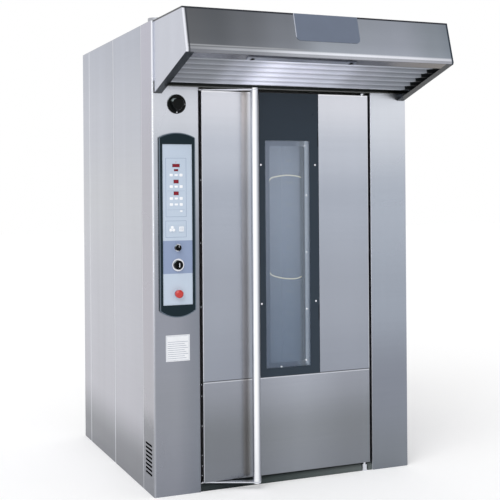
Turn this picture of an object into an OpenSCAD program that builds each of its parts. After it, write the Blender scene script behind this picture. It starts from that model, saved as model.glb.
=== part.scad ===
// Rotating rack oven: a floor-standing bakery oven for one wheeled rack.
// The origin is on the floor, at the centre of the cabinet's footprint. +X is to the
// right as one faces the door, +Y runs to the back, +Z is up. Lengths are millimetres.
// Inside the modules, front_frame() puts y = 0 on the front face of the columns.

/* [Cabinet] */
// Width of the cabinet
body_w = 1440; // [1380:10:1560]
// Depth of the cabinet without the hood
body_d = 1400; // [1360:10:1600]
// Height of the cabinet
body_h = 2340; // [2300:10:2420]
// Thickness of the outer sheet metal
sheet = 2; // [1.5:0.5:3]
// Radius of the folded corners of the front columns
fold_r = 6; // [4:0.5:10]
// Width of the left front column, which holds the controls
left_column_w = 243; // [236:1:270]
// Width of the right front column
right_column_w = 220; // [205:1:240]
// Depth of both front columns
column_d = 178; // [170:1:200]
// Height of the insulated base
base_h = 38; // [30:1:44]
// Height of the lintel above the door, up to the roof
lintel_h = 326; // [310:1:336]

/* [Side panels] */
// Length of the front side panel
front_panel_len = 529.5; // [480:0.5:560]
// Length of the rear corner post along the side
rear_post_len = 155.5; // [120:0.5:200]
// Width of the rear corner post along the back
rear_post_w = 60; // [40:1:100]
// Visible gap between neighbouring side panels
seam_gap = 1.5; // [1:0.5:3]
// Depth of the folded edges of the side panels
return_d = 16; // [10:1:20]

/* [Vent in the left column] */
// Number of slots
slot_count = 8; // [4:1:10]
// Height of a slot
slot_h = 11; // [5:0.5:12]
// Horizontal length of a slot
slot_len = 104; // [70:1:110]
// Height from one slot to the next
slot_pitch = 20.5; // [16:0.5:22]
// Slope of a slot, down towards the front
slot_tilt = 0; // [0:1:12]
// Height of the lowest slot's middle above the floor
slot_low_z = 100; // [80:1:110]
// Distance from the front face to the middle of the slots
slot_mid_y = 90; // [80:1:95]

/* [Chamber] */
// Distance from the inner side of a front column to the chamber's wall
chamber_inset = 8.5; // [6:0.5:14]
// Distance from the chamber's ceiling up to the roof
ceiling_drop = 390; // [380:2:396]
// Thickness of the chamber walls
liner_t = 4; // [3:0.5:5]
// Height of the door frame's header below the lintel
header_h = 72; // [70:1:100]
// Width of the left jamb of the door frame
left_jamb_w = 47; // [44:1:60]
// Width of the right jamb of the door frame
right_jamb_w = 67; // [50:1:80]
// Depth of the door frame
door_frame_d = 78; // [60:1:84]
// Width of the door gasket
gasket_w = 14; // [10:1:16]
// Number of air slots in a column of the side walls
louvre_rows = 12; // [6:1:14]
// Number of slot columns in each side wall
louvre_columns = 4; // [2:1:5]
// Length of an air slot
louvre_len = 120; // [60:5:150]
// Height of an air slot
louvre_h = 14; // [8:1:20]
// Depth of the air duct behind each side wall
duct_w = 88; // [70:2:100]
// Depth of the heater plenum behind the chamber
plenum_d = 156; // [140:2:170]
// Thickness of the insulation behind the heater plenum
rear_insulation_t = 108; // [80:2:130]
// Height of the air plenum above the chamber
plenum_h = 106; // [96:2:120]
// Thickness of the insulation above the plenum
roof_insulation_t = 90; // [70:5:100]
// Thickness of the deck that carries the motors
deck_t = 4; // [3:0.5:6]

/* [Rack drive] */
// Diameter of the rack drive shaft
rack_shaft_dia = 40; // [30:1:46]
// Distance between the shaft's underside and the ceiling
rack_shaft_drop = 70; // [50:5:90]
// Span of the hook crossbar
hook_span = 520; // [400:10:600]
// Length of the hooks below the crossbar
hook_drop = 50; // [40:5:70]
// Side of the square gearbox
gearbox_side = 140; // [120:5:160]
// Height of the gearbox
gearbox_h = 130; // [110:5:136]
// Diameter of the gear motor
gear_motor_dia = 120; // [90:5:130]
// Length of the gear motor
gear_motor_len = 210; // [160:5:240]

/* [Circulation fan] */
// Diameter of the fan wheel as a share of the chamber's depth
fan_share = 0.42; // [0.38:0.01:0.43]
// Height of the fan wheel
fan_h = 80; // [60:2:84]
// Number of fan blades
blade_count = 12; // [8:1:18]
// Thickness of a fan blade
blade_t = 3; // [2:0.5:5]
// Diameter of the fan inlet
fan_inlet_dia = 220; // [180:5:240]
// Diameter of the fan shaft
fan_shaft_dia = 28; // [20:1:34]
// Diameter of the fan motor
fan_motor_dia = 170; // [140:5:200]
// Height of the fan motor above its flange
fan_motor_h = 150; // [120:5:160]
// Gap between the fan wheel and the chamber's rear wall
fan_gap = 20; // [12:1:30]

/* [Heater and steam] */
// Number of hairpin heating rods
hairpin_count = 10; // [6:1:12]
// Diameter of a heating rod
rod_dia = 12; // [8:1:14]
// Distance between the two legs of a hairpin
hairpin_w = 44; // [36:1:60]
// Height of the rods' lower ends above the steam cascade
rod_low = 172; // [150:2:260]
// Height of the steam cascade
cascade_h = 250; // [180:5:270]
// Number of steps in the steam cascade
cascade_steps = 5; // [3:1:6]
// Outer diameter of the water pipe, half-inch pipe thread
water_pipe_dia = 21; // [16:0.5:22]
// Bore of the water pipe
water_pipe_bore = 15; // [10:0.5:15.5]
// Distance from the cabinet's centre plane to the water pipe
water_pipe_x = 300; // [200:5:340]

/* [Exhaust] */
// Outer diameter of the exhaust duct
exhaust_dia = 96; // [80:1:100]
// Wall of the exhaust duct
exhaust_wall = 3; // [2:0.5:4]
// Height of the exhaust collar above the roof
exhaust_rise = 60; // [40:5:70]
// Distance from the front face to the exhaust duct
exhaust_y = 300; // [290:5:320]
// Distance of the exhaust duct's lower end below the damper's axis
exhaust_drop = 122; // [110:2:130]
// Outer diameter of the hood collar
hood_collar_dia = 150; // [120:5:160]
// Height of the hood collar above the roof
hood_collar_rise = 60; // [40:5:70]
// Diameter of the damper spindle
spindle_dia = 12; // [8:1:14]
// Thickness of the damper flap
flap_t = 3; // [2:0.5:5]
// Distance from the roof down to the damper knob and its spindle
damper_drop = 408; // [400:2:430]
// Diameter of the damper knob
damper_knob_dia = 92; // [80:1:104]
// Height of the damper knob's disc
damper_knob_h = 14; // [10:1:20]

/* [Hood] */
// Distance that the hood stands out in front of the cabinet
hood_reach = 477; // [420:1:500]
// Depth of the hood's flat top
hood_top_d = 420; // [380:1:430]
// Inset of the hood from each side of the cabinet
hood_inset = 11; // [6:1:20]
// Height of the hood at the cabinet, up to the roof
hood_h = 358; // [346:1:366]
// Height of the hood at its front lip, up to the roof
hood_front_h = 217; // [204:1:226]
// Radius of the rolled front lip
lip_r = 13; // [8:1:16]
// Width of the turned-in flange below the cheeks
flange_w = 40; // [30:1:50]
// Number of filter slats
slat_count = 6; // [4:1:6]
// Distance from one slat to the next
slat_pitch = 53; // [46:1:54]
// Height of a slat's front face
slat_face_h = 16; // [10:1:18]
// Gap left for the steam between two slats
slat_gap = 9; // [6:1:14]
// Width of the name badge's place
badge_w = 342; // [280:2:400]
// Length of the badge down the front of the hood
badge_len = 138; // [110:2:150]
// Distance of the badge to the right of the hood's middle
badge_shift = 19; // [0:1:40]
// Corner radius of the badge
badge_r = 24; // [10:1:30]

/* [Door] */
// Gap around the door leaf
door_gap = 15; // [12:0.5:18]
// Height of the door's lower edge
door_low_z = 45; // [44:0.5:48]
// Gap between the door's upper edge and the lintel
door_top_gap = 11; // [10:0.5:14]
// Thickness of the door leaf
door_t = 88; // [80:1:90]
// Thickness of the front skins of the door
skin_t = 3; // [2:0.5:4]
// Height of the seam between the kick panel and the upper panels
kick_top_z = 543; // [480:1:600]
// Share of the window's height at which the lower window screws sit
screw_low = 0.286; // [0.1:0.001:0.45]
// Share of the window's height at which the upper window screws sit
screw_high = 0.893; // [0.6:0.001:0.97]
// Width of the dark window panel
window_panel_w = 337; // [300:1:360]
// Distance from the door's left edge to the window panel
window_panel_x = 313.5; // [300:0.5:330]
// Width of the clear window
window_w = 254; // [220:1:262]
// Distance from the clear window up to the door's upper edge
window_top = 245; // [200:1:400]
// Distance from the seam to the clear window
window_low = 44; // [40:1:100]
// Width of the glazing bead behind the front pane
bead_w = 27; // [20:1:32]
// Corner radius of the glazing bead
bead_r = 16; // [8:1:24]
// Thickness of a window pane
pane_t = 6; // [4:0.5:8]
// Diameter of a hinge pin
hinge_pin_dia = 16; // [12:1:20]
// Distance from the door's right edge to the hinge axis
hinge_inset = 28; // [26:0.5:32]
// Distance from the door's front face to the hinge axis
hinge_back = 15; // [14:0.5:18]
// Length of the hinge pins inside the door
hinge_depth = 30; // [20:1:40]

/* [Door handle] */
// Diameter of the handle tube
handle_dia = 40; // [30:1:44]
// Distance from the handle's axis to the front face
handle_reach = 70; // [66:1:84]
// Distance from the latch shaft to the handle's axis
handle_offset = 236; // [200:1:260]
// Diameter of the latch shaft
latch_shaft_dia = 16; // [12:1:20]
// Distance from the door's left edge to the latch shaft
latch_inset = 22; // [20:0.5:26]
// Distance from the front face to the latch shaft
latch_back = 30; // [26:1:36]
// Thickness of the handle arms
arm_t = 6; // [4:0.5:7]
// Width of the handle arms
arm_w = 30; // [24:1:34]
// Length of the latch finger
finger_len = 23; // [20:0.5:24]

/* [Control panel] */
// Distance from the cabinet's left side to the panel's centre line
panel_in = 125; // [122:1:130]
// Width of the control frame
panel_w = 186; // [170:1:190]
// Distance from the roof down to the control frame's straight sides
panel_drop = 575; // [560:1:600]
// Length of the control frame's straight sides
panel_len = 851; // [840:1:900]
// Rise of the arched upper edge
arch_top = 24; // [10:1:30]
// Depth of the arched lower edge
arch_low = 34; // [10:1:40]
// Thickness of the control frame
panel_t = 12; // [10:0.5:14]
// Width of the key foil
foil_w = 154; // [140:1:160]
// Distance from the foil's lower edge to the end of the straight sides
foil_low = 26; // [16:1:30]
// Distance from the foil's upper edge to the end of the straight sides
foil_high = 32; // [20:1:40]
// Thickness of the foil and its carrier
foil_t = 3; // [2:0.5:4]
// Width of the ledge behind the foil
foil_ledge = 5; // [3:0.5:8]
// Distance from the foil's upper edge down to the two larger push keys
key_drop = 418; // [400:1:424]
// Distance from the foil's upper edge down to the small rotary knob
timer_drop = 510; // [500:1:516]
// Distance from the foil's upper edge down to the key selector
selector_drop = 595; // [590:1:602]
// Distance from the foil's upper edge down to the emergency button
emergency_drop = 737; // [700:1:744]
// Diameter of the switch stems
stem_dia = 22; // [16:1:24]
// Diameter of the emergency button's head
mushroom_dia = 40; // [34:1:44]
// Travel of the emergency button
mushroom_travel = 5; // [3:0.5:6]
// Side of the larger push keys
key_side = 34; // [28:1:36]
// Travel of the larger push keys
key_travel = 1.2; // [0.8:0.1:1.5]
// Width of the data plate
plate_w = 124; // [100:1:140]
// Height of the data plate
plate_h = 129; // [100:1:140]
// Distance from the control frame down to the data plate
plate_drop = 89; // [60:1:140]

/* [Clearances] */
// Radial clearance of a turning shaft
running = 0.05; // [0.03:0.01:0.09]
// Gap where one piece rests on a sloping face or in a round pocket
seat = 0.04; // [0.02:0.01:0.08]
// Gap between pieces that only lie close to each other
near = 0.3; // [0.2:0.05:0.5]
// Gap round a shaft or duct that passes through a plate
pass = 5; // [3:0.5:8]

/* [Hidden] */
$fn = 48;
front_y = -body_d / 2;
left_x = -body_w / 2;
right_x = body_w / 2;
wall_h = body_h - sheet;
left_inner_x = left_x + left_column_w;
right_inner_x = right_x - right_column_w;
rear_inner_y = body_d - sheet;

lintel_z = body_h - lintel_h;
door_x0 = left_inner_x + door_gap;
door_x1 = right_inner_x - door_gap;
door_top_z = lintel_z - door_top_gap;
sill_h = base_h - 4;

jamb_y = column_d - door_frame_d;
doorway_x0 = left_inner_x + left_jamb_w;
doorway_x1 = right_inner_x - right_jamb_w;
doorway_top_z = lintel_z - header_h;

// The rack turns about the middle of the chamber.
axis_x = (left_inner_x + right_inner_x) / 2;
chamber_x0 = left_inner_x + chamber_inset;
chamber_x1 = right_inner_x - chamber_inset;
chamber_w = chamber_x1 - chamber_x0;
rear_slab_y = rear_inner_y - rear_insulation_t;
chamber_y1 = rear_slab_y - plenum_d - liner_t;
chamber_d = chamber_y1 - column_d;
axis_y = column_d + chamber_d / 2;
ceiling_z = body_h - ceiling_drop;
fan_dia = fan_share * chamber_d;
fan_y = chamber_y1 - fan_gap - fan_dia / 2;
floor_top_z = base_h + liner_t;
ceiling_top_z = ceiling_z + liner_t;
slab_z = ceiling_top_z + plenum_h;
deck_z = slab_z + roof_insulation_t;
deck_top_z = deck_z + deck_t;
slab_x0 = left_x + sheet + return_d;
slab_x1 = right_x - sheet - return_d;

rack_shaft_r = rack_shaft_dia / 2;
rack_shaft_low_z = ceiling_z - rack_shaft_drop;
hook_bar_t = 12;
hook_bar_w = 44;
hook_hub_r = 45;
hook_flange_t = 12;
gearbox_top_z = deck_top_z + gearbox_h;
fan_shaft_r = fan_shaft_dia / 2;
fan_low_z = ceiling_top_z + 12;
fan_top_z = fan_low_z + fan_h;
fan_flange_t = 12;
fan_shaft_in = 45;

cascade_top_z = base_h + cascade_h;
water_pipe_z = cascade_top_z + 40;
water_end_y = chamber_y1 + 70;
gland_x = left_x + 160;
gland_z = deck_top_z + 60;
gland_r = 16;
gland_bore_r = 11;

panel_x = left_x + panel_in;
exhaust_x = panel_x;
exhaust_r = exhaust_dia / 2;
exhaust_bore_r = exhaust_r - exhaust_wall;
damper_z = body_h - damper_drop;
exhaust_low_z = damper_z - exhaust_drop;
branch_r = 40;
branch_z = exhaust_low_z + branch_r + exhaust_wall + pass;
spindle_r = spindle_dia / 2;
spindle_tail = 8;
hood_collar_r = hood_collar_dia / 2;
hood_collar_y = column_d / 2;

// Slope of the hood's lower edges, from the cabinet to the front lip.
hood_low_z = body_h - hood_h;
hood_lip_z = body_h - hood_front_h;
hood_rise = hood_lip_z - hood_low_z;
hood_slope = hood_rise / (hood_reach - lip_r);
hood_angle = atan(hood_slope);
hood_x0 = left_x + hood_inset;
hood_x1 = right_x - hood_inset;
lip_y = -hood_reach + lip_r;
lip_z = hood_lip_z + lip_r;
lip_back = 44;
rail_h = 20;
rail_d = 12;
rail_z = lintel_z + 4;
slat_first_y = -93;
slat_lip = 2;
filter_side_t = 4;
filter_lift = 4;
filter_h = 24;

hinge_x = door_x1 - hinge_inset;
hinge_y = hinge_back;
hinge_r = hinge_pin_dia / 2;
latch_x = door_x0 + latch_inset;
latch_y = latch_back;
latch_r = latch_shaft_dia / 2;
handle_x = latch_x + handle_offset;
handle_y = -handle_reach;
handle_r = handle_dia / 2;
arm_top_z = door_top_z + (door_top_gap - arm_t) / 2;
arm_seat = 6;
finger_w = 12;
arm_low_z = sill_h + (door_low_z - sill_h - arm_t) / 2;
core_y0 = skin_t;
panel_left_x1 = door_x0 + window_panel_x - seam_gap;
window_panel_x0 = door_x0 + window_panel_x;
window_panel_x1 = window_panel_x0 + window_panel_w;
window_cx = (window_panel_x0 + window_panel_x1) / 2 - 9.5;
window_x0 = window_cx - window_w / 2;
window_x1 = window_cx + window_w / 2;
window_z0 = kick_top_z + window_low;
window_z1 = door_top_z - window_top;
window_h = window_z1 - window_z0;
glass_rim = 5;
bead_t = 4;
inner_pane_y = door_t - 14;

panel_high_z = body_h - panel_drop;
panel_low_z = panel_high_z - panel_len;
foil_low_z = panel_low_z + foil_low;
foil_high_z = panel_high_z - foil_high;
timer_z = foil_high_z - timer_drop;
selector_z = foil_high_z - selector_drop;
emergency_z = foil_high_z - emergency_drop;
foil_front_y = -panel_t + foil_t;
foil_back_y = foil_front_y + foil_t;
stem_r = stem_dia / 2;
mushroom_r = mushroom_dia / 2;
timer_ring_t = 3;
selector_ring_t = 6;
emergency_ring_t = 4;
key_rim = 2;
key_proud = 0.8;
key_left_x = panel_x - 28;
key_right_x = panel_x + 20;
key_z = foil_high_z - key_drop;

// Moves a piece from the front-face frame to the part's own frame.
module front_frame() {
    translate([0, front_y, 0]) children();
}

// A block given by its two corners.
module block(low, high) {
    translate(low) cube(high - low);
}

// A cylinder along Y, from y0 to y1.
module rod_y(x, z, r, y0, y1) {
    translate([x, y1, z]) rotate([90, 0, 0]) cylinder(h = y1 - y0, r = r);
}

// An outline in X and Z, made solid from y0 to y1.
module plate_y(y0, y1) {
    translate([0, y1, 0]) rotate([90, 0, 0]) linear_extrude(y1 - y0) children();
}

// An outline in Y and Z, made solid from x0 to x1.
module plate_x(x0, x1) {
    translate([x0, 0, 0]) rotate([90, 0, 90]) linear_extrude(x1 - x0) children();
}

// A rectangle given by its corners, with round corners.
module round_square(low, high, r) {
    translate([low[0] + r, low[1]]) square([high[0] - low[0] - 2 * r, high[1] - low[1]]);
    translate([low[0], low[1] + r]) square([high[0] - low[0], high[1] - low[1] - 2 * r]);
    for (x = [low[0] + r, high[0] - r]) {
        for (z = [low[1] + r, high[1] - r]) {
            translate([x, z]) circle(r);
        }
    }
}

// A rectangle whose two front corners are round, seen from above.
module folded_front(w, d, r) {
    translate([r, 0]) square([w - 2 * r, d]);
    translate([0, r]) square([w, d - r]);
    for (x = [r, w - r]) {
        translate([x, r]) circle(r);
    }
}

// ---------------------------------------------------------------- cabinet

module base_pan() {
    color("dimgray") front_frame()
        block([left_x + sheet, column_d, 0], [right_x - sheet, rear_inner_y, base_h]);
}

module door_sill() {
    color("darkslategray") front_frame() difference() {
        plate_x(left_inner_x, right_inner_x)
            polygon([[8, 0], [column_d, 0], [column_d, sill_h], [20, sill_h], [8, sill_h - 12]]);
        translate([hinge_x - hinge_r - 10, -1, -1])
            cube([2 * hinge_r + 20, hinge_y + hinge_r + 9, sill_h + 2]);
    }
}

// A front column: one folded sheet, open at the back.
module column_shell(w) {
    linear_extrude(wall_h) difference() {
        folded_front(w, column_d, fold_r);
        translate([sheet, sheet])
            folded_front(w - 2 * sheet, column_d, fold_r - sheet);
    }
}

module left_column() {
    color("silver") front_frame() difference() {
        translate([left_x, 0, 0]) column_shell(left_column_w);
        block([panel_x - foil_w / 2 + foil_ledge, -1, foil_low_z + foil_ledge],
            [panel_x + foil_w / 2 - foil_ledge, sheet + 1, foil_high_z - foil_ledge]);
        rod_y(panel_x, damper_z, spindle_r + running, -1, sheet + 1);
        for (i = [0 : slot_count - 1]) {
            translate([left_x - 1, slot_mid_y, slot_low_z + i * slot_pitch])
                rotate([slot_tilt, 0, 0])
                    translate([0, -slot_len / 2, -slot_h / 2])
                        cube([sheet + 2, slot_len, slot_h]);
        }
    }
}

module right_column() {
    color("silver") front_frame()
        translate([right_inner_x, 0, 0]) column_shell(right_column_w);
}

// The box above the door. Its front lets the hood's air through to the collar.
module lintel_panel() {
    intake_w = 600;
    intake_h = 120;
    color("silver") front_frame() difference() {
        block([left_inner_x, 0, lintel_z], [right_inner_x, column_d, wall_h]);
        block([left_inner_x + sheet, sheet, lintel_z + sheet],
            [right_inner_x - sheet, column_d - sheet, wall_h + 1]);
        translate([axis_x - intake_w / 2, -1, wall_h - intake_h - 60])
            cube([intake_w, sheet + 2, intake_h]);
    }
}

// The two side panels of one side, as sheets with folded upright edges.
module side_panels() {
    rear_len = body_d - column_d - front_panel_len - rear_post_len - 2 * seam_gap;
    front_y0 = column_d;
    rear_y0 = column_d + front_panel_len + seam_gap;
    for (panel = [[front_y0, front_panel_len], [rear_y0, rear_len]]) {
        translate([left_x, panel[0], 0]) {
            cube([sheet, panel[1], wall_h]);
            for (y = [0, panel[1] - sheet]) {
                translate([0, y, base_h]) cube([sheet + return_d, sheet, wall_h - base_h]);
            }
        }
    }
}

module left_side_panels() {
    color("gainsboro") front_frame() side_panels();
}

module right_side_panels() {
    color("gainsboro") front_frame() mirror([1, 0, 0]) side_panels();
}

module rear_posts() {
    color("silver") front_frame() for (side = [0, 1]) {
        mirror([side, 0, 0]) {
            block([left_x, body_d - rear_post_len, 0], [left_x + sheet, body_d, wall_h]);
            block([left_x, rear_inner_y, 0], [left_x + rear_post_w, body_d, wall_h]);
        }
    }
}

module rear_panel() {
    vent_rows = 6;
    vent_w = 260;
    vent_h = 6;
    vent_pitch = 22;
    color("silver") front_frame() difference() {
        block([left_x + rear_post_w + seam_gap, rear_inner_y, 0],
            [right_x - rear_post_w - seam_gap, body_d, wall_h]);
        rod_y(water_pipe_x, water_pipe_z, water_pipe_dia / 2 + near, rear_inner_y - 1, body_d + 1);
        rod_y(gland_x, gland_z, gland_r, rear_inner_y - 1, body_d + 1);
        for (x = [-320, 320]) {
            for (i = [0 : vent_rows - 1]) {
                translate([x - vent_w / 2, rear_inner_y - 1, deck_top_z + 30 + i * vent_pitch])
                    cube([vent_w, sheet + 2, vent_h]);
            }
        }
    }
}

module roof_panel() {
    color("gainsboro") front_frame() difference() {
        block([left_x, 0, wall_h], [right_x, body_d, body_h]);
        translate([exhaust_x, exhaust_y, wall_h - 1]) cylinder(h = sheet + 2, r = exhaust_r + near);
        translate([axis_x, hood_collar_y, wall_h - 1]) cylinder(h = sheet + 2, r = hood_collar_r - sheet);
    }
}

// ---------------------------------------------------------------- chamber

module chamber_floor() {
    color("lightgray") front_frame()
        block([chamber_x0, column_d, base_h], [chamber_x1, chamber_y1, floor_top_z]);
}

// Both side walls carry rows of air slots; the left one has the exhaust branch's hole.
module chamber_side_walls() {
    column_pitch = chamber_d / louvre_columns;
    row_pitch = (ceiling_z - floor_top_z) / (louvre_rows + 2);
    color("lightgray") front_frame() difference() {
        for (x = [chamber_x0 - liner_t, chamber_x1]) {
            block([x, column_d, base_h], [x + liner_t, chamber_y1, ceiling_z]);
        }
        for (x = [chamber_x0 - liner_t - 1, chamber_x1 - 1]) {
            for (i = [0 : louvre_columns - 1]) {
                for (k = [1 : louvre_rows]) {
                    translate([x, column_d + (i + 0.5) * column_pitch - louvre_len / 2,
                            floor_top_z + k * row_pitch])
                        cube([liner_t + 2, louvre_len, louvre_h]);
                }
            }
        }
        translate([chamber_x0 - liner_t - 1, exhaust_y, branch_z]) rotate([0, 90, 0])
            cylinder(h = liner_t + 2, r = branch_r - exhaust_wall);
    }
}

// The rear wall has a return grille in its lower half.
module chamber_rear_wall() {
    grille_rows = 10;
    grille_w = 600;
    grille_h = 12;
    grille_pitch = 36;
    color("lightgray") front_frame() difference() {
        block([chamber_x0 - liner_t, chamber_y1, base_h],
            [chamber_x1 + liner_t, chamber_y1 + liner_t, ceiling_z]);
        for (i = [0 : grille_rows - 1]) {
            translate([axis_x - grille_w / 2, chamber_y1 - 1, floor_top_z + 420 + i * grille_pitch])
                cube([grille_w, liner_t + 2, grille_h]);
        }
    }
}

module chamber_ceiling() {
    color("lightgray") front_frame() difference() {
        block([chamber_x0 - liner_t, column_d, ceiling_z],
            [chamber_x1 + liner_t, chamber_y1 + liner_t, ceiling_top_z]);
        translate([axis_x, axis_y, ceiling_z - 1]) cylinder(h = liner_t + 2, r = rack_shaft_r + pass);
        translate([axis_x, fan_y, ceiling_z - 1]) cylinder(h = liner_t + 2, r = fan_inlet_dia / 2);
    }
}

// Two hollow jambs and a header, which close the gap between the columns and the chamber.
module door_frame() {
    jamb_wall = 4;
    color("darkgray") front_frame() difference() {
        block([left_inner_x, jamb_y, sill_h], [right_inner_x, column_d, lintel_z]);
        block([doorway_x0, jamb_y - 1, sill_h - 1], [doorway_x1, column_d + 1, doorway_top_z]);
        for (jamb = [[left_inner_x, doorway_x0], [doorway_x1, right_inner_x]]) {
            block([jamb[0] + jamb_wall, jamb_y + jamb_wall, sill_h - 1],
                [jamb[1] - jamb_wall, column_d - jamb_wall, doorway_top_z]);
        }
    }
}

// The gasket sits on the door's back, up both sides and across the top. The closed door
// brings it close to the door frame.
module door_gasket() {
    inset = 4;
    outer_x0 = doorway_x0 - inset - gasket_w;
    outer_x1 = doorway_x1 + inset + gasket_w;
    outer_z1 = doorway_top_z + inset + gasket_w;
    color("dimgray") front_frame() difference() {
        block([outer_x0, door_t, door_low_z + 5], [outer_x1, jamb_y - near, outer_z1]);
        block([outer_x0 + gasket_w, door_t - 1, 0],
            [outer_x1 - gasket_w, jamb_y, outer_z1 - gasket_w]);
    }
}

// Holes for the rack shaft, the fan shaft and the exhaust duct.
module deck_holes(z, h) {
    translate([axis_x, axis_y, z]) cylinder(h = h, r = rack_shaft_r + pass);
    translate([axis_x, fan_y, z]) cylinder(h = h, r = fan_shaft_r + pass);
    translate([exhaust_x, exhaust_y, z]) cylinder(h = h, r = exhaust_r + near);
}

// Mineral wool at both sides, the back and the top. A recess holds the exhaust duct.
module insulation() {
    recess_y1 = exhaust_y + exhaust_r + spindle_tail + pass;
    color("khaki") front_frame() {
        difference() {
            block([slab_x0, column_d + sheet, base_h],
                [chamber_x0 - liner_t - duct_w, rear_slab_y, slab_z]);
            block([slab_x0 - 1, column_d, exhaust_low_z - pass],
                [chamber_x0, recess_y1, slab_z + 1]);
        }
        block([chamber_x1 + liner_t + duct_w, column_d + sheet, base_h],
            [slab_x1, rear_slab_y, slab_z]);
        difference() {
            block([slab_x0, rear_slab_y, base_h], [slab_x1, rear_inner_y, slab_z]);
            rod_y(water_pipe_x, water_pipe_z, water_pipe_dia / 2 + near,
                rear_slab_y - 1, rear_inner_y + 1);
        }
        difference() {
            block([slab_x0, column_d + sheet, slab_z], [slab_x1, rear_inner_y, deck_z]);
            deck_holes(slab_z - 1, roof_insulation_t + 2);
        }
    }
}

module motor_deck() {
    color("darkgray") front_frame() difference() {
        block([slab_x0, column_d + sheet, deck_z], [slab_x1, rear_inner_y, deck_top_z]);
        deck_holes(deck_z - 1, deck_t + 2);
    }
}

// Hairpin rods held by two rails that stand out from the chamber's rear wall.
module heating_rods() {
    side_gap = 60;
    rail_t = 6;
    rail_up = 300;
    rail_past = 20;
    rod_gap = 40;
    pitch = (chamber_w - 2 * side_gap) / (hairpin_count - 1);
    rod_r = rod_dia / 2;
    rail_y0 = chamber_y1 + liner_t;
    leg_y = rail_y0 + rod_gap;
    rail_y1 = leg_y + hairpin_w + rail_past;
    rod_low_z = cascade_top_z + rod_low;
    rod_top_z = ceiling_z - rod_gap;
    color("sienna") front_frame() {
        for (z = [rod_low_z + rail_up, rod_top_z - rail_t]) {
            block([chamber_x0 + side_gap / 2, rail_y0, z], [chamber_x1 - side_gap / 2, rail_y1, z + rail_t]);
        }
        for (i = [0 : hairpin_count - 1]) {
            translate([chamber_x0 + side_gap + i * pitch, leg_y, rod_low_z]) {
                for (y = [0, hairpin_w]) {
                    translate([0, y, 0]) cylinder(h = rod_top_z - rod_low_z, r = rod_r);
                }
                translate([0, hairpin_w / 2, 0]) rotate([0, 90, 0]) rotate([0, 0, -90])
                    rotate_extrude(angle = 180) translate([hairpin_w / 2, 0]) circle(rod_r);
            }
        }
    }
}

// Stepped water trays between two side cheeks. Water runs down them and turns to steam.
module steam_cascade() {
    cheek_t = 5;
    tray_t = 8;
    tray_low = 20;
    tray_shift = 30;
    wall_gap = 8;
    side_gap = 30;
    y0 = chamber_y1 + liner_t + wall_gap;
    y1 = rear_slab_y - wall_gap;
    x0 = chamber_x0 + side_gap;
    x1 = chamber_x1 - side_gap;
    step_pitch = (cascade_h - tray_low - tray_t) / cascade_steps;
    color("dimgray") front_frame() {
        for (x = [x0, x1 - cheek_t]) {
            block([x, y0, base_h], [x + cheek_t, y1, base_h + cascade_h]);
        }
        for (i = [0 : cascade_steps - 1]) {
            shift = (i % 2) * tray_shift;
            tray_z = base_h + tray_low + i * step_pitch;
            block([x0, y0 + shift, tray_z], [x1, y1 - tray_shift + shift, tray_z + tray_t]);
        }
    }
}

// The pipe enters through the back and ends above the cascade.
module water_pipe() {
    color("peru") front_frame() difference() {
        union() {
            rod_y(water_pipe_x, water_pipe_z, water_pipe_dia / 2, water_end_y, body_d + 24);
            rod_y(water_pipe_x, water_pipe_z, water_pipe_dia / 2 + 8, body_d, body_d + 4);
            translate([water_pipe_x, water_end_y, cascade_top_z + near])
                cylinder(h = 40, r = water_pipe_dia / 2);
        }
        rod_y(water_pipe_x, water_pipe_z, water_pipe_bore / 2, water_end_y, body_d + 25);
        translate([water_pipe_x, water_end_y, cascade_top_z - 1])
            cylinder(h = 41, r = water_pipe_bore / 2);
    }
}

// A branch from the chamber's left wall and a riser through the roof.
module exhaust_duct() {
    collar_step = 1;
    branch_len = chamber_x0 - liner_t - exhaust_x;
    duct_h = body_h + exhaust_rise - exhaust_low_z;
    color("gainsboro") front_frame() difference() {
        union() {
            translate([exhaust_x, exhaust_y, exhaust_low_z])
                cylinder(h = body_h - exhaust_low_z, r = exhaust_r);
            translate([exhaust_x, exhaust_y, body_h])
                cylinder(h = exhaust_rise, r = exhaust_r - collar_step);
            translate([exhaust_x, exhaust_y, branch_z]) rotate([0, 90, 0])
                cylinder(h = branch_len, r = branch_r);
        }
        translate([exhaust_x, exhaust_y, exhaust_low_z + exhaust_wall])
            cylinder(h = duct_h, r = exhaust_bore_r);
        translate([exhaust_x, exhaust_y, branch_z]) rotate([0, 90, 0])
            cylinder(h = branch_len + 1, r = branch_r - exhaust_wall);
        rod_y(exhaust_x, damper_z, spindle_r + running, exhaust_y - exhaust_r - 1,
            exhaust_y + exhaust_r + 1);
    }
}

// A glass tube light in the chamber's front right corner, in two holders.
module chamber_lamp() {
    lamp_r = 11;
    lamp_len = 700;
    holder = 30;
    lamp_x = chamber_x1 - holder / 2;
    lamp_y = column_d + holder / 2;
    lamp_z = (floor_top_z + ceiling_z - lamp_len) / 2;
    color("lightyellow") front_frame() {
        translate([lamp_x, lamp_y, lamp_z]) cylinder(h = lamp_len, r = lamp_r);
        for (z = [lamp_z - holder, lamp_z + lamp_len]) {
            block([chamber_x1 - holder, column_d, z], [chamber_x1, column_d + holder, z + holder]);
        }
    }
}

// ---------------------------------------------------------------- drives

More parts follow.
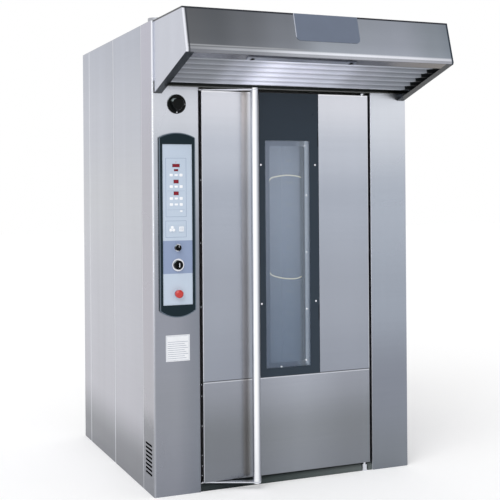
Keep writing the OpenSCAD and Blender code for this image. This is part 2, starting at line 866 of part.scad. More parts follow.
// Worm gearbox with a hollow shaft, standing on the deck, and its motor at the right.
module rack_gearmotor() {
    motor_z = deck_top_z + gearbox_h / 2 + 6;
    color("steelblue") front_frame() difference() {
        union() {
            translate([axis_x - gearbox_side / 2, axis_y - gearbox_side / 2, deck_top_z])
                cube([gearbox_side, gearbox_side, gearbox_h]);
            translate([axis_x + gearbox_side / 2, axis_y, motor_z]) rotate([0, 90, 0])
                cylinder(h = gear_motor_len, r = gear_motor_dia / 2);
            translate([axis_x, axis_y, deck_top_z]) cylinder(h = 14, r = gearbox_side / 2 + 20);
        }
        translate([axis_x, axis_y, deck_top_z - 1])
            cylinder(h = gearbox_h + 2, r = rack_shaft_r + running);
    }
}

module rack_shaft() {
    collar_h = 14;
    shaft_top_z = gearbox_top_z + near + collar_h;
    color("silver") front_frame() translate([axis_x, axis_y, 0]) {
        translate([0, 0, rack_shaft_low_z])
            cylinder(h = shaft_top_z - rack_shaft_low_z, r = rack_shaft_r);
        translate([0, 0, gearbox_top_z + near]) cylinder(h = collar_h, r = rack_shaft_r + 10);
        translate([0, 0, rack_shaft_low_z]) cylinder(h = hook_flange_t, r = hook_hub_r);
    }
}

// A crossbar with two hooks that lift and turn the rack.
module rack_hook() {
    bar_z = rack_shaft_low_z - hook_bar_t;
    color("silver") front_frame() translate([axis_x, axis_y, 0]) {
        translate([0, 0, bar_z]) cylinder(h = hook_bar_t, r = hook_hub_r);
        translate([-hook_span / 2, -hook_bar_w / 2, bar_z]) cube([hook_span, hook_bar_w, hook_bar_t]);
        for (side = [0, 1]) {
            mirror([side, 0, 0]) {
                translate([hook_span / 2 - hook_bar_t, -hook_bar_w / 2, bar_z - hook_drop])
                    cube([hook_bar_t, hook_bar_w, hook_drop]);
                translate([hook_span / 2 - 50, -hook_bar_w / 2, bar_z - hook_drop])
                    cube([50, hook_bar_w, hook_bar_t]);
            }
        }
    }
}

// Radial wheel: back plate, blades, inlet ring and hub with its shaft.
module fan_wheel() {
    plate_t = 4;
    hub_r = fan_shaft_r + 16;
    blade_r0 = fan_inlet_dia / 2 - 6;
    color("lightsteelblue") front_frame() translate([axis_x, fan_y, 0]) {
        translate([0, 0, fan_top_z - plate_t]) cylinder(h = plate_t, r = fan_dia / 2);
        translate([0, 0, fan_low_z]) difference() {
            cylinder(h = plate_t, r = fan_dia / 2);
            translate([0, 0, -1]) cylinder(h = plate_t + 2, r = fan_inlet_dia / 2);
        }
        for (i = [0 : blade_count - 1]) {
            rotate([0, 0, i * 360 / blade_count])
                translate([blade_r0, -blade_t / 2, fan_low_z])
                    cube([fan_dia / 2 - blade_r0 - 4, blade_t, fan_h]);
        }
        translate([0, 0, fan_low_z + 20]) cylinder(h = fan_h - 20, r = hub_r);
        translate([0, 0, fan_top_z])
            cylinder(h = deck_top_z + fan_shaft_in - fan_top_z, r = fan_shaft_r);
    }
}

module fan_motor() {
    color("steelblue") front_frame() translate([axis_x, fan_y, deck_top_z]) difference() {
        union() {
            cylinder(h = fan_flange_t, r = fan_motor_dia / 2 + 18);
            cylinder(h = fan_flange_t + fan_motor_h, r = fan_motor_dia / 2);
        }
        translate([0, 0, -1]) cylinder(h = fan_shaft_in + 1 + near, r = fan_shaft_r + running);
    }
}

module cable_gland() {
    gland_len = 22;
    color("dimgray") front_frame() difference() {
        union() {
            rod_y(gland_x, gland_z, gland_r, rear_inner_y - 10, body_d + gland_len);
            rod_y(gland_x, gland_z, gland_r + 6, body_d, body_d + 8);
            rod_y(gland_x, gland_z, gland_r + 6, rear_inner_y - 8, rear_inner_y);
        }
        rod_y(gland_x, gland_z, gland_bore_r, rear_inner_y - 11, body_d + gland_len + 1);
    }
}

// ---------------------------------------------------------------- hood

// Side outline of the hood, from the cabinet's front face to the lip.
module hood_cheek_outline() {
    polygon([[0, hood_low_z], [0, body_h], [-hood_top_d, body_h], [-hood_reach, lip_z],
        [lip_y, hood_lip_z]]);
    translate([lip_y, lip_z]) circle(lip_r);
}

// Height of the cheek flanges' upper face, at a place in front of the cabinet.
function flange_top(y) = hood_low_z - y * hood_slope + sheet;

// Height of the underside behind the front lip, which has the flanges' slope.
function lip_under_z(y) = hood_lip_z + (lip_y - y) * hood_slope;

// Folded canopy: top, sloping front with a rolled lip, two cheeks with turned-in
// flanges, and the rail that carries the rear end of the filter.
module hood_shell() {
    color("lightslategray") front_frame() {
        for (x = [hood_x0, hood_x1 - sheet]) {
            plate_x(x, x + sheet) hood_cheek_outline();
        }
        plate_x(hood_x0, hood_x1) {
            polygon([[0, body_h - sheet], [0, body_h], [-hood_top_d, body_h],
                [-hood_top_d + sheet, body_h - sheet]]);
            polygon([[-hood_top_d, body_h], [-hood_reach, lip_z], [-hood_reach + 2 * sheet, lip_z],
                [-hood_top_d + 2 * sheet, body_h - sheet]]);
            polygon([[lip_y, lip_under_z(lip_y)], [lip_y, lip_under_z(lip_y) + sheet],
                [lip_y + lip_back, lip_under_z(lip_y + lip_back) + sheet],
                [lip_y + lip_back, lip_under_z(lip_y + lip_back)]]);
            translate([lip_y, lip_z]) circle(lip_r);
        }
        for (x = [hood_x0, hood_x1 - flange_w]) {
            plate_x(x, x + flange_w)
                polygon([[0, flange_top(0) - sheet], [lip_y, flange_top(lip_y) - sheet],
                    [lip_y, flange_top(lip_y)], [0, flange_top(0)]]);
        }
        block([hood_x0, -rail_d, rail_z], [hood_x1, 0, rail_z + rail_h]);
    }
}

// One piece of folded slats between two side strips. It lies on the cheek flanges.
module hood_filter() {
    x0 = hood_x0 + sheet;
    x1 = hood_x1 - sheet;
    last_y = slat_first_y - slat_count * slat_pitch;
    color("silver") front_frame() {
        for (x = [x0, x1 - filter_side_t]) {
            plate_x(x, x + filter_side_t)
                polygon([[slat_first_y, flange_top(slat_first_y) + seat],
                    [last_y, flange_top(last_y) + seat], [last_y, flange_top(last_y) + filter_h],
                    [slat_first_y, flange_top(slat_first_y) + filter_h]]);
        }
        for (i = [0 : slat_count - 1]) {
            slat_y = slat_first_y - (i + 1) * slat_pitch + slat_gap;
            plate_x(x0, x1) translate([slat_y, flange_top(slat_y) + filter_lift])
                polygon([[0, 0], [slat_pitch - slat_gap, 0], [slat_pitch - slat_gap, slat_lip],
                    [slat_lip, slat_lip], [slat_lip + 4, slat_face_h + slat_lip],
                    [4, slat_face_h + slat_lip]]);
        }
    }
}

// A flat light behind the front lip.
module hood_lamp() {
    lamp_w = 570;
    lamp_d = 26;
    lamp_t = 5;
    lamp_x0 = hood_x0 + 311;
    color("white") front_frame()
        translate([lamp_x0, lip_y + 12, lip_under_z(lip_y + 12)])
            rotate([-hood_angle, 0, 0]) translate([0, 0, -lamp_t - seat])
                cube([lamp_w, lamp_d, lamp_t]);
}

// A bare plate on the hood's sloping front, with round lower corners.
module hood_badge() {
    badge_t = 2;
    front_fall = lip_z - body_h;
    front_run = hood_top_d - hood_reach;
    tilt = atan2(-front_run, -front_fall);
    badge_x0 = (hood_x0 + hood_x1 - badge_w) / 2 + badge_shift;
    color("slategray") front_frame()
        translate([badge_x0, -hood_top_d, body_h]) rotate([-tilt, 0, 0])
            translate([0, 0, -badge_len - 1]) plate_y(-badge_t, 0) {
                round_square([0, 0], [badge_w, badge_len], badge_r);
                translate([0, badge_len / 2]) square([badge_w, badge_len / 2]);
            }
}

module hood_collar() {
    color("gainsboro") front_frame() translate([axis_x, hood_collar_y, body_h]) difference() {
        union() {
            cylinder(h = hood_collar_rise, r = hood_collar_r);
            cylinder(h = sheet, r = hood_collar_r + 14);
        }
        translate([0, 0, -1]) cylinder(h = hood_collar_rise + 2, r = hood_collar_r - sheet);
    }
}

// ---------------------------------------------------------------- controls

// Radius of a circle through both ends and the middle of an arch.
function arch_radius(half_w, rise) = (half_w * half_w + rise * rise) / (2 * rise);

// Outline of the control frame: straight sides with an arch above and below.
module control_outline() {
    half = panel_w / 2;
    top_r = arch_radius(half, arch_top);
    low_r = arch_radius(half, arch_low);
    translate([panel_x, 0]) {
        translate([-half, panel_low_z]) square([panel_w, panel_high_z - panel_low_z]);
        intersection() {
            translate([0, panel_high_z + arch_top - top_r]) circle(top_r, $fn = 180);
            translate([-half, panel_high_z - 1]) square([panel_w, arch_top + 2]);
        }
        intersection() {
            translate([0, panel_low_z - arch_low + low_r]) circle(low_r, $fn = 180);
            translate([-half, panel_low_z - arch_low - 1]) square([panel_w, arch_low + 2]);
        }
    }
}

// The frame has a pocket for the foil, and a ledge behind the foil's edges.
module control_frame() {
    half = foil_w / 2;
    color("darkslategray") front_frame() difference() {
        plate_y(-panel_t, 0) control_outline();
        block([panel_x - half, -panel_t - 1, foil_low_z], [panel_x + half, foil_back_y, foil_high_z]);
        block([panel_x - half + foil_ledge, foil_back_y - 1, foil_low_z + foil_ledge],
            [panel_x + half - foil_ledge, 1, foil_high_z - foil_ledge]);
    }
}

module control_foil() {
    half = foil_w / 2;
    hole = key_side / 2 + near;
    color("lightsteelblue") front_frame() difference() {
        block([panel_x - half, foil_front_y, foil_low_z], [panel_x + half, foil_back_y, foil_high_z]);
        for (z = [timer_z, selector_z, emergency_z]) {
            rod_y(panel_x, z, stem_r + running, foil_front_y - 1, foil_back_y + 1);
        }
        for (x = [key_left_x, key_right_x]) {
            block([x - hole, foil_front_y - 1, key_z - hole], [x + hole, foil_back_y + 1, key_z + hole]);
        }
    }
}

// Four dark windows over the numeric displays, on the foil's face.
module display_windows() {
    window_t = 0.8;
    // Each row holds the distance below the foil's upper edge, the width and the height.
    windows = [[105, 38, 16], [128, 22, 10], [184, 26, 18], [242, 26, 18]];
    window_x = panel_x - 6;
    color("darkred") front_frame() for (w = windows) {
        z = foil_high_z - w[0];
        block([window_x - w[1] / 2, foil_front_y - window_t, z - w[2] / 2],
            [window_x + w[1] / 2, foil_front_y, z + w[2] / 2]);
    }
}

// Rings round the three switch stems, on the foil's face.
module switch_bezels() {
    rings = [
        [timer_z, 18, timer_ring_t], [selector_z, 31, selector_ring_t],
        [emergency_z, 19, emergency_ring_t]
    ];
    color("gainsboro") front_frame() for (ring = rings) {
        difference() {
            rod_y(panel_x, ring[0], ring[1], foil_front_y - ring[2], foil_front_y);
            rod_y(panel_x, ring[0], stem_r + running, foil_front_y - ring[2] - 1, foil_front_y + 1);
        }
    }
}

// Mounting plate inside the left column, with contactors and a terminal rail.
module switch_plate() {
    plate_back = 38;
    plate_y0 = column_d - plate_back;
    device = [56, 70, 90];
    device_gap = 12;
    device_rise = 260;
    rail = [200, 40, 45];
    low_z = foil_low_z + 60;
    high_z = foil_high_z - 33;
    color("tan") front_frame() {
        block([left_x + sheet, plate_y0, low_z], [left_inner_x - sheet, plate_y0 + sheet, high_z]);
        for (i = [0 : 2]) {
            for (k = [0 : 1]) {
                translate([left_x + 20 + i * (device[0] + device_gap), plate_y0 - device[1],
                        low_z + 80 + k * device_rise])
                    cube(device);
            }
        }
        translate([left_x + 20, plate_y0 - rail[1], low_z + 2 * device_rise + 40]) cube(rail);
    }
}

module data_plate() {
    plate_t = 1;
    high_z = panel_low_z - arch_low - plate_drop;
    color("white") front_frame()
        block([panel_x - plate_w / 2, -plate_t, high_z - plate_h], [panel_x + plate_w / 2, 0, high_z]);
}

// A push key: a cap in the foil's square hole, with a rim behind the foil.
module push_key(x) {
    half = key_side / 2;
    cap_y = foil_front_y - key_travel - key_proud;
    block([x - half, cap_y, key_z - half], [x + half, foil_back_y + near, key_z + half]);
    block([x - half - key_rim, foil_back_y + near, key_z - half - key_rim],
        [x + half + key_rim, foil_back_y + near + 1.5, key_z + half + key_rim]);
}

module push_key_left() {
    color("whitesmoke") front_frame() push_key(key_left_x);
}

module push_key_right() {
    color("whitesmoke") front_frame() push_key(key_right_x);
}

module timer_knob() {
    knob_y = foil_front_y - timer_ring_t - near;
    color("black") front_frame() {
        rod_y(panel_x, timer_z, stem_r, knob_y, foil_back_y + 14);
        rod_y(panel_x, timer_z, 15, knob_y - 12, knob_y);
        block([panel_x - 3, knob_y - 20, timer_z - 15], [panel_x + 3, knob_y - 11, timer_z + 15]);
    }
}

module key_selector() {
    knob_y = foil_front_y - selector_ring_t - near;
    color("black") front_frame() {
        rod_y(panel_x, selector_z, stem_r, knob_y, foil_back_y + 18);
        rod_y(panel_x, selector_z, 23, knob_y - 9, knob_y);
        block([panel_x - 5, knob_y - 22, selector_z - 22], [panel_x + 5, knob_y - 8, selector_z + 22]);
    }
}

// The mushroom head stands off its collar by its travel.
module emergency_button() {
    head_y = foil_front_y - emergency_ring_t - mushroom_travel - near;
    color("red") front_frame() {
        rod_y(panel_x, emergency_z, stem_r, head_y, foil_back_y + 20);
        rod_y(panel_x, emergency_z, mushroom_r, head_y - 16, head_y);
        translate([panel_x, head_y - 16, emergency_z]) rotate([90, 0, 0])
            cylinder(h = 6, r1 = mushroom_r, r2 = mushroom_r - 8);
    }
}

// ---------------------------------------------------------------- damper

module damper_knob() {
    grip_w = 16;
    grip_h = 18;
    point = 7;
    face_y = -near - damper_knob_h;
    knob_r = damper_knob_dia / 2;
    color("black") front_frame() {
        rod_y(panel_x, damper_z, knob_r, face_y, -near);
        block([panel_x - grip_w / 2, face_y - grip_h, damper_z - knob_r + 6],
            [panel_x + grip_w / 2, face_y + 1, damper_z + knob_r - 6]);
        plate_y(face_y, -near)
            polygon([[panel_x + knob_r - 6, damper_z - 12], [panel_x + knob_r + point - 3, damper_z],
                [panel_x + knob_r - 6, damper_z + 12]]);
    }
}

// A round flap on its spindle. At rest it lies flat and closes the duct.
module damper_flap() {
    flap_r = exhaust_bore_r - 0.5;
    color("silver") front_frame() {
        rod_y(exhaust_x, damper_z, spindle_r, -near, exhaust_y + exhaust_r + spindle_tail);
        translate([exhaust_x, exhaust_y, damper_z - flap_t / 2]) cylinder(h = flap_t, r = flap_r);
    }
}

// ---------------------------------------------------------------- door

// Bores for the hinge pins and the latch shaft.
module door_bores() {
    for (z = [door_low_z - 1, door_top_z - hinge_depth - near]) {
        translate([hinge_x, hinge_y, z]) cylinder(h = hinge_depth + near + 1, r = hinge_r + running);
    }
    translate([latch_x, latch_y, door_low_z - 1])
        cylinder(h = door_top_z - door_low_z + 2, r = latch_r + running);
}

// The insulated leaf with its inner lining. A stepped opening holds the two panes.
module door_core() {
    color("gray") front_frame() difference() {
        block([door_x0, core_y0, door_low_z], [door_x1, door_t, door_top_z]);
        block([window_x0 + glass_rim, core_y0 - 1, window_z0 + glass_rim],
            [window_x1 - glass_rim, door_t + 1, window_z1 - glass_rim]);
        block([window_x0 - glass_rim, core_y0 - 1, window_z0 - glass_rim],
            [window_x1 + glass_rim, core_y0 + pane_t + bead_t, window_z1 + glass_rim]);
        block([window_x0 - glass_rim, inner_pane_y, window_z0 - glass_rim],
            [window_x1 + glass_rim, inner_pane_y + pane_t, window_z1 + glass_rim]);
        door_bores();
    }
}

// A front skin of the door, with rounded upright edges.
module door_skin(x0, x1, z0, z1) {
    translate([x0, 0, z0]) linear_extrude(z1 - z0) difference() {
        folded_front(x1 - x0, skin_t, 2);
        translate([-1, skin_t]) square([x1 - x0 + 2, 5]);
    }
}

module door_left_panel() {
    color("silver") front_frame()
        door_skin(door_x0, panel_left_x1, kick_top_z + seam_gap, door_top_z);
}

module door_right_panel() {
    color("silver") front_frame()
        door_skin(window_panel_x1 + seam_gap, door_x1, kick_top_z + seam_gap, door_top_z);
}

module door_kick_panel() {
    color("darkgray") front_frame() door_skin(door_x0, door_x1, door_low_z, kick_top_z);
}

module window_frame() {
    color("darkslategray") front_frame() difference() {
        block([window_panel_x0, 0, kick_top_z + seam_gap], [window_panel_x1, core_y0, door_top_z]);
        block([window_x0, -1, window_z0], [window_x1, core_y0 + 1, window_z1]);
    }
}

// The front pane behind the dark frame, and the inner pane near the door's back.
module window_panes() {
    rim = glass_rim - near;
    color("lightblue") front_frame() for (y = [core_y0, inner_pane_y]) {
        block([window_x0 - rim, y, window_z0 - rim], [window_x1 + rim, y + pane_t, window_z1 + rim]);
    }
}

// A flat ring with round inner corners that holds the front pane.
module window_bead() {
    rim = glass_rim - near;
    color("lightslategray") front_frame()
        plate_y(core_y0 + pane_t, core_y0 + pane_t + bead_t) difference() {
            translate([window_x0 - rim, window_z0 - rim])
                square([window_w + 2 * rim, window_h + 2 * rim]);
            round_square([window_x0 + bead_w, window_z0 + bead_w],
                [window_x1 - bead_w, window_z1 - bead_w], bead_r);
        }
}

// Dome-headed screws along both edges of the dark frame.
module window_screws() {
    head_r = 5;
    head_h = 2.4;
    for (x = [window_panel_x0 + 7, window_panel_x1 - 21]) {
        for (share = [screw_low, screw_high]) {
            color("white") front_frame() rod_y(x, window_z0 + share * window_h, head_r, -head_h, 0);
        }
    }
}

// Fixed pins: the lower one stands on a bracket in front of the sill, the upper one
// hangs from the lintel.
module hinge_pins() {
    flange_r = hinge_r + 7;
    flange_t = 4;
    color("silver") front_frame() {
        translate([hinge_x, hinge_y, 0]) cylinder(h = sill_h, r = flange_r);
        translate([hinge_x, hinge_y, sill_h])
            cylinder(h = door_low_z + hinge_depth - sill_h, r = hinge_r);
        block([hinge_x - flange_r, hinge_y, 0], [hinge_x + flange_r, hinge_y + hinge_r + 8, sill_h - 6]);
        translate([hinge_x, hinge_y, door_top_z - hinge_depth])
            cylinder(h = lintel_z - door_top_z + hinge_depth, r = hinge_r);
        translate([hinge_x, hinge_y, lintel_z - flange_t]) cylinder(h = flange_t, r = flange_r);
    }
}

// ---------------------------------------------------------------- handle

module handle_tube() {
    tube_low_z = arm_low_z - 4;
    tube_top_z = arm_top_z + arm_t + 6;
    color("whitesmoke") front_frame() translate([handle_x, handle_y, tube_low_z]) difference() {
        cylinder(h = tube_top_z - tube_low_z, r = handle_r);
        for (z = [arm_low_z, arm_top_z]) {
            translate([0, 0, z - tube_low_z]) difference() {
                cylinder(h = arm_t, r = handle_r + 1);
                translate([0, 0, -1]) cylinder(h = arm_t + 2, r = handle_r - arm_seat);
            }
        }
    }
}

// Flat arms from the latch shaft round to the handle, one above and one below the door.
// Each ends beyond the shaft in the finger that lies behind the striker.
module handle_arms() {
    arm_len = norm([handle_offset, handle_y - latch_y]);
    arm_turn = atan2(handle_y - latch_y, handle_offset);
    color("gainsboro") front_frame() for (z = [arm_low_z, arm_top_z]) {
        translate([latch_x, latch_y, z]) linear_extrude(arm_t) difference() {
            union() {
                circle(r = arm_w / 2 - 2);
                translate([-finger_len, -finger_w / 2]) square([finger_len, finger_w]);
                rotate(arm_turn) {
                    polygon([[0, 5 - arm_w / 2], [arm_len, 3 - handle_r], [arm_len, handle_r - 3],
                        [0, arm_w / 2 - 5]]);
                    translate([arm_len, 0]) circle(r = handle_r);
                }
            }
            circle(r = latch_r + seat);
            rotate(arm_turn) translate([arm_len, 0]) circle(r = handle_r - arm_seat + seat);
        }
    }
}

// The upright shaft in the door's free edge. It turns with both arms.
module latch_shaft() {
    color("silver") front_frame() translate([latch_x, latch_y, arm_low_z])
        cylinder(h = arm_top_z + arm_t - arm_low_z, r = latch_r);
}

// Small blocks on the column's side, in front of the latch fingers.
module latch_strikers() {
    striker_w = 11;
    striker_d = 8;
    striker_y1 = latch_y - finger_w / 2 - near;
    color("silver") front_frame() for (z = [arm_low_z, arm_top_z]) {
        block([left_inner_x, striker_y1 - striker_d, z],
            [left_inner_x + striker_w, striker_y1, z + arm_t]);
    }
}

base_pan();
door_sill();
left_column();
right_column();
lintel_panel();
left_side_panels();
right_side_panels();
rear_posts();
rear_panel();
roof_panel();
chamber_floor();
chamber_side_walls();
chamber_rear_wall();
chamber_ceiling();
door_frame();
door_gasket();
insulation();
motor_deck();
heating_rods();
steam_cascade();
water_pipe();
exhaust_duct();
chamber_lamp();
rack_gearmotor();
fan_motor();
cable_gland();
hood_shell();
hood_filter();
hood_lamp();
hood_badge();
hood_collar();
control_frame();
control_foil();
display_windows();
switch_bezels();
switch_plate();
data_plate();
latch_strikers();
hinge_pins();
door_core();
door_left_panel();
door_right_panel();
door_kick_panel();
window_frame();
window_panes();
window_bead();
window_screws();
handle_tube();
handle_arms();
latch_shaft();
damper_knob();
damper_flap();
rack_shaft();
rack_hook();
fan_wheel();
push_key_left();
push_key_right();
timer_knob();
key_selector();
emergency_button();
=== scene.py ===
# %% [markdown]
# # A rack oven in brushed steel
# A rack oven is a steel cabinet taller than a person. A baker wheels a whole rack of
# trays in over the sill, a hook in the ceiling lifts it and turns it in the hot air,
# and a hood over the door catches the steam. The cabinet, the door, the shafts and the
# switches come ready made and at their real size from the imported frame. This script
# gives them their finishes and adds the small things that the frame leaves plain:
# screws, keys, digits, hems, a lobed knob, lights and a camera.

# %% Load the frame
import math

import bmesh
import bpy
from mathutils import Matrix, Vector


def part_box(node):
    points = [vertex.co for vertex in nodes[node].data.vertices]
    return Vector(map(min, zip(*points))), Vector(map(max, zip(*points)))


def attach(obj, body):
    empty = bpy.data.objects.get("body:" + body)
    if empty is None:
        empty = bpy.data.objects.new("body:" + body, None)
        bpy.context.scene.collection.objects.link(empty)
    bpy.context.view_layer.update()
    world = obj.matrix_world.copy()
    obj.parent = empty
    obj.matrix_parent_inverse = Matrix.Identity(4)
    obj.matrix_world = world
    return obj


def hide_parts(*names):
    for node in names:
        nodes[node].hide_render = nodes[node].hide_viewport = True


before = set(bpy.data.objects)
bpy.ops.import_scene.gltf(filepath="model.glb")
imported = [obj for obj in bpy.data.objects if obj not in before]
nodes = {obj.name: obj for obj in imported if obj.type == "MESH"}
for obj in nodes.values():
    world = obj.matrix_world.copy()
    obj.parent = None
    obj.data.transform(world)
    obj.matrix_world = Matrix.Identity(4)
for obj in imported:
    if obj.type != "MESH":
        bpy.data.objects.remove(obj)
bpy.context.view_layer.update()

# %% [markdown]
# ## The camera
# The picture was taken with a long lens from the left of the door, at eye height, with
# the camera held level. A level camera keeps upright edges upright, and the lens is
# shifted down to take in the floor. A camera in Blender looks along its own -Z, so its
# turning matrix is built from the three directions right, up and backwards.

# %% Camera
EYE = Vector((-2.2243, -5.4759, 1.5090))
YAW = math.radians(22.952)
ROLL = math.radians(-0.422)
FRAME_PIXELS = 500
FOCAL_IN_FRAMES = 1018.93 / FRAME_PIXELS
HORIZON_SHIFT = (189.12 - FRAME_PIXELS / 2) / FRAME_PIXELS

forward = Vector((math.sin(YAW), math.cos(YAW), 0))
level_right = Vector((math.cos(YAW), -math.sin(YAW), 0))
level_up = Vector((0, 0, 1))
right = math.cos(ROLL) * level_right + math.sin(ROLL) * level_up
up = math.cos(ROLL) * level_up - math.sin(ROLL) * level_right

lens = bpy.data.cameras.new("lens")
lens.sensor_width = 36
lens.lens = FOCAL_IN_FRAMES * lens.sensor_width
lens.shift_y = HORIZON_SHIFT
camera = bpy.data.objects.new("camera", lens)
camera.matrix_world = Matrix.Translation(EYE) @ Matrix((right, up, -forward)).transposed().to_4x4()
bpy.context.scene.collection.objects.link(camera)
bpy.context.scene.camera = camera
print("lens:", round(lens.lens, 2), "mm")

# %% [markdown]
# ## Helpers for node trees
# Every finish below is a small tree of nodes. Writing a tree by hand takes three lines a
# node, so one helper makes a node, sets it up and plugs its inputs in. Colours are
# written as they look on a screen, from 0 to 255, and turned into the linear values
# that a shader works with.

# %% Colour and node helpers
FLOAT, COLOUR = "NodeSocketFloat", "NodeSocketColor"


def screen_colour(colour):
    """(red, green, blue) on a screen, turned into linear values. Anything else stays as it is."""
    if not isinstance(colour, tuple) or len(colour) != 3:
        return colour
    values = [level / 255 for level in colour]
    linear = [v / 12.92 if v <= 0.04045 else ((v + 0.055) / 1.055) ** 2.4 for v in values]
    return (*linear, 1.0)


def plug(socket, value):
    """Sets an input to a plain value, or joins it to another node's output."""
    if isinstance(value, bpy.types.NodeSocket):
        socket.id_data.links.new(value, socket)
    else:
        socket.default_value = value


def add_node(tree, kind, inputs=None, **settings):
    """Makes a node with its settings and inputs."""
    made = tree.nodes.new(kind)
    for name, value in settings.items():
        setattr(made, name, value)
    for name, value in (inputs or {}).items():
        plug(made.inputs[name], value)
    return made


def add_after(values, kind, inputs, **settings):
    """Makes a node in the tree that the first socket among the values belongs to."""
    tree = next(value.id_data for value in values if isinstance(value, bpy.types.NodeSocket))
    return add_node(tree, kind, inputs, **settings)


def calculate(operation, *values):
    """The output of a Math node."""
    return add_after(values, "ShaderNodeMath", dict(enumerate(values)), operation=operation).outputs[0]


def times(first, second):
    """The product of two values. With two masks, it holds where both hold."""
    return calculate("MULTIPLY", first, second)


def plus(first, second):
    """The sum of two values."""
    return calculate("ADD", first, second)


def combine(x=0.0, y=0.0, z=0.0):
    """A vector of three values."""
    return add_after((x, y, z), "ShaderNodeCombineXYZ", {0: x, 1: y, 2: z}).outputs[0]


def blend_colours(share, first, second, mode="MIX"):
    """Lays a second colour over a first one. A colour is a socket or (red, green, blue) on a screen."""
    # The colour sockets of a Mix node are numbers 6 and 7.
    inputs = {0: share, 6: screen_colour(first), 7: screen_colour(second)}
    mixer = add_after((share, first, second), "ShaderNodeMix", inputs, data_type="RGBA", blend_type=mode)
    return mixer.outputs[2]


def rise(value, low, high, to_low=0.0, to_high=1.0):
    """A value that climbs smoothly from one level to another between two places."""
    limits = {"Value": value, "From Min": low, "From Max": high, "To Min": to_low, "To Max": to_high}
    ramp = add_after((value,), "ShaderNodeMapRange", limits, interpolation_type="SMOOTHSTEP")
    return ramp.outputs["Result"]


def noise(place, scale, detail=2.0):
    """A soft random pattern from 0 to 1."""
    inputs = {"Vector": place, "Scale": scale, "Detail": detail}
    return add_after((place,), "ShaderNodeTexNoise", inputs).outputs[0]


def object_place(tree, stretch=(1, 1, 1)):
    """The point's own place on the piece, stretched to make a pattern long or fine."""
    place = add_node(tree, "ShaderNodeTexCoord").outputs["Object"]
    return add_node(tree, "ShaderNodeMapping", {"Vector": place, "Scale": stretch}).outputs[0]


def split(vector):
    """The three parts of a vector, as outputs named X, Y and Z."""
    return add_after((vector,), "ShaderNodeSeparateXYZ", {"Vector": vector}).outputs


def along(tree, axis):
    """The place along one axis: X from the left, Y from the front or Z from the floor."""
    return split(object_place(tree))[axis]


def surface_normal(tree):
    """The direction that the surface faces."""
    return add_node(tree, "ShaderNodeTexCoord").outputs["Normal"]


def towards(tree, direction):
    """How nearly the surface faces a direction: 1 straight at it, 0 side on."""
    return add_node(tree, "ShaderNodeVectorMath", {0: surface_normal(tree), 1: direction},
                    operation="DOT_PRODUCT").outputs["Value"]


def tone_ramp(value, stops):
    """A colour that follows a value through a row of (value, screen colour) stops."""
    first, last = stops[0][0], stops[-1][0]
    share = add_after((value,), "ShaderNodeMapRange", {"Value": value, "From Min": first, "From Max": last})
    ramp = add_after((value,), "ShaderNodeValToRGB", {"Fac": share.outputs["Result"]})
    ramp.color_ramp.interpolation = "EASE"
    elements = ramp.color_ramp.elements
    elements[0].color, elements[1].color = screen_colour(stops[0][1]), screen_colour(stops[-1][1])
    for place, colour in stops[1:-1]:
        elements.new((place - first) / (last - first)).color = screen_colour(colour)
    return ramp.outputs["Color"]


def tone_along(tree, axis, tone):
    """One screen colour, or the colour of a row of stops along an axis."""
    return tone_ramp(along(tree, axis), tone) if isinstance(tone, list) else screen_colour(tone)


def new_group(name, kind, inputs, outputs):
    """A node group, its inputs and its outputs. An input is (name, type, starting value)."""
    group = bpy.data.node_groups.new(name, kind)
    for label, socket_kind, value in inputs:
        socket = group.interface.new_socket(label, in_out="INPUT", socket_type=socket_kind)
        if value is not None:
            socket.default_value = value
    for label, socket_kind in outputs:
        group.interface.new_socket(label, in_out="OUTPUT", socket_type=socket_kind)
    print("node group:", name)
    return group, group.nodes.new("NodeGroupInput").outputs, group.nodes.new("NodeGroupOutput").inputs


FINISH_OUTPUTS = [("Color", COLOUR), ("Roughness", FLOAT), ("Height", FLOAT)]

# %% [markdown]
# ## Brushed sheet, as a shader group
# Stainless sheet is drawn through abrasive belts, which leaves thousands of fine
# scratches that all run one way. Light spreads across them, so a sheet never mirrors a
# sharp image: what it mirrors is drawn out into soft upright streaks. Three things make
# it look real: hair-fine lines in the colour and the relief, the upright streaks, and
# slow cloudy changes of tone. The tone itself comes from the material, as an input.

# %% The brushed_sheet group
SCRATCH_SHARE, BAND_SHARE = 0.55, 0.45
CLOUD_TONE, CLOUD_ROUGHNESS = 0.10, 0.08
sheet_group, sheet_in, sheet_out = new_group(
    "brushed_sheet", "ShaderNodeTree",
    [("Tone", COLOUR, (0.4, 0.4, 0.4, 1)), ("Grain", FLOAT, 0.10),
     ("Streaks", FLOAT, 0.12), ("Roughness", FLOAT, 0.30)], FINISH_OUTPUTS)


def swing(pattern, amount):
    """Turns a pattern from 0 to 1 into a small change around nothing."""
    return times(calculate("SUBTRACT", pattern, 0.5), amount)


def shade(colour, factor):
    """Multiplies a colour by a value."""
    return blend_colours(1.0, colour, combine(factor, factor, factor), "MULTIPLY")


scratches = noise(object_place(sheet_group, (5, 5, 700)), 1.0, 3.0)
bands = noise(object_place(sheet_group, (1.2, 1.2, 60)), 1.0, 4.0)
line_tone = plus(times(scratches, SCRATCH_SHARE), times(bands, BAND_SHARE))
upright = noise(object_place(sheet_group, (9, 9, 0.5)), 1.0, 3.0)
clouds = noise(object_place(sheet_group, (1.6, 1.6, 1.1)), 1.0, 2.0)
factor = 1.0
for pattern, amount in ((line_tone, sheet_in["Grain"]), (upright, sheet_in["Streaks"]), (clouds, CLOUD_TONE)):
    factor = plus(factor, swing(pattern, amount))
plug(sheet_out["Color"], shade(sheet_in["Tone"], factor))
plug(sheet_out["Roughness"], plus(sheet_in["Roughness"], swing(clouds, CLOUD_ROUGHNESS)))
plug(sheet_out["Height"], line_tone)

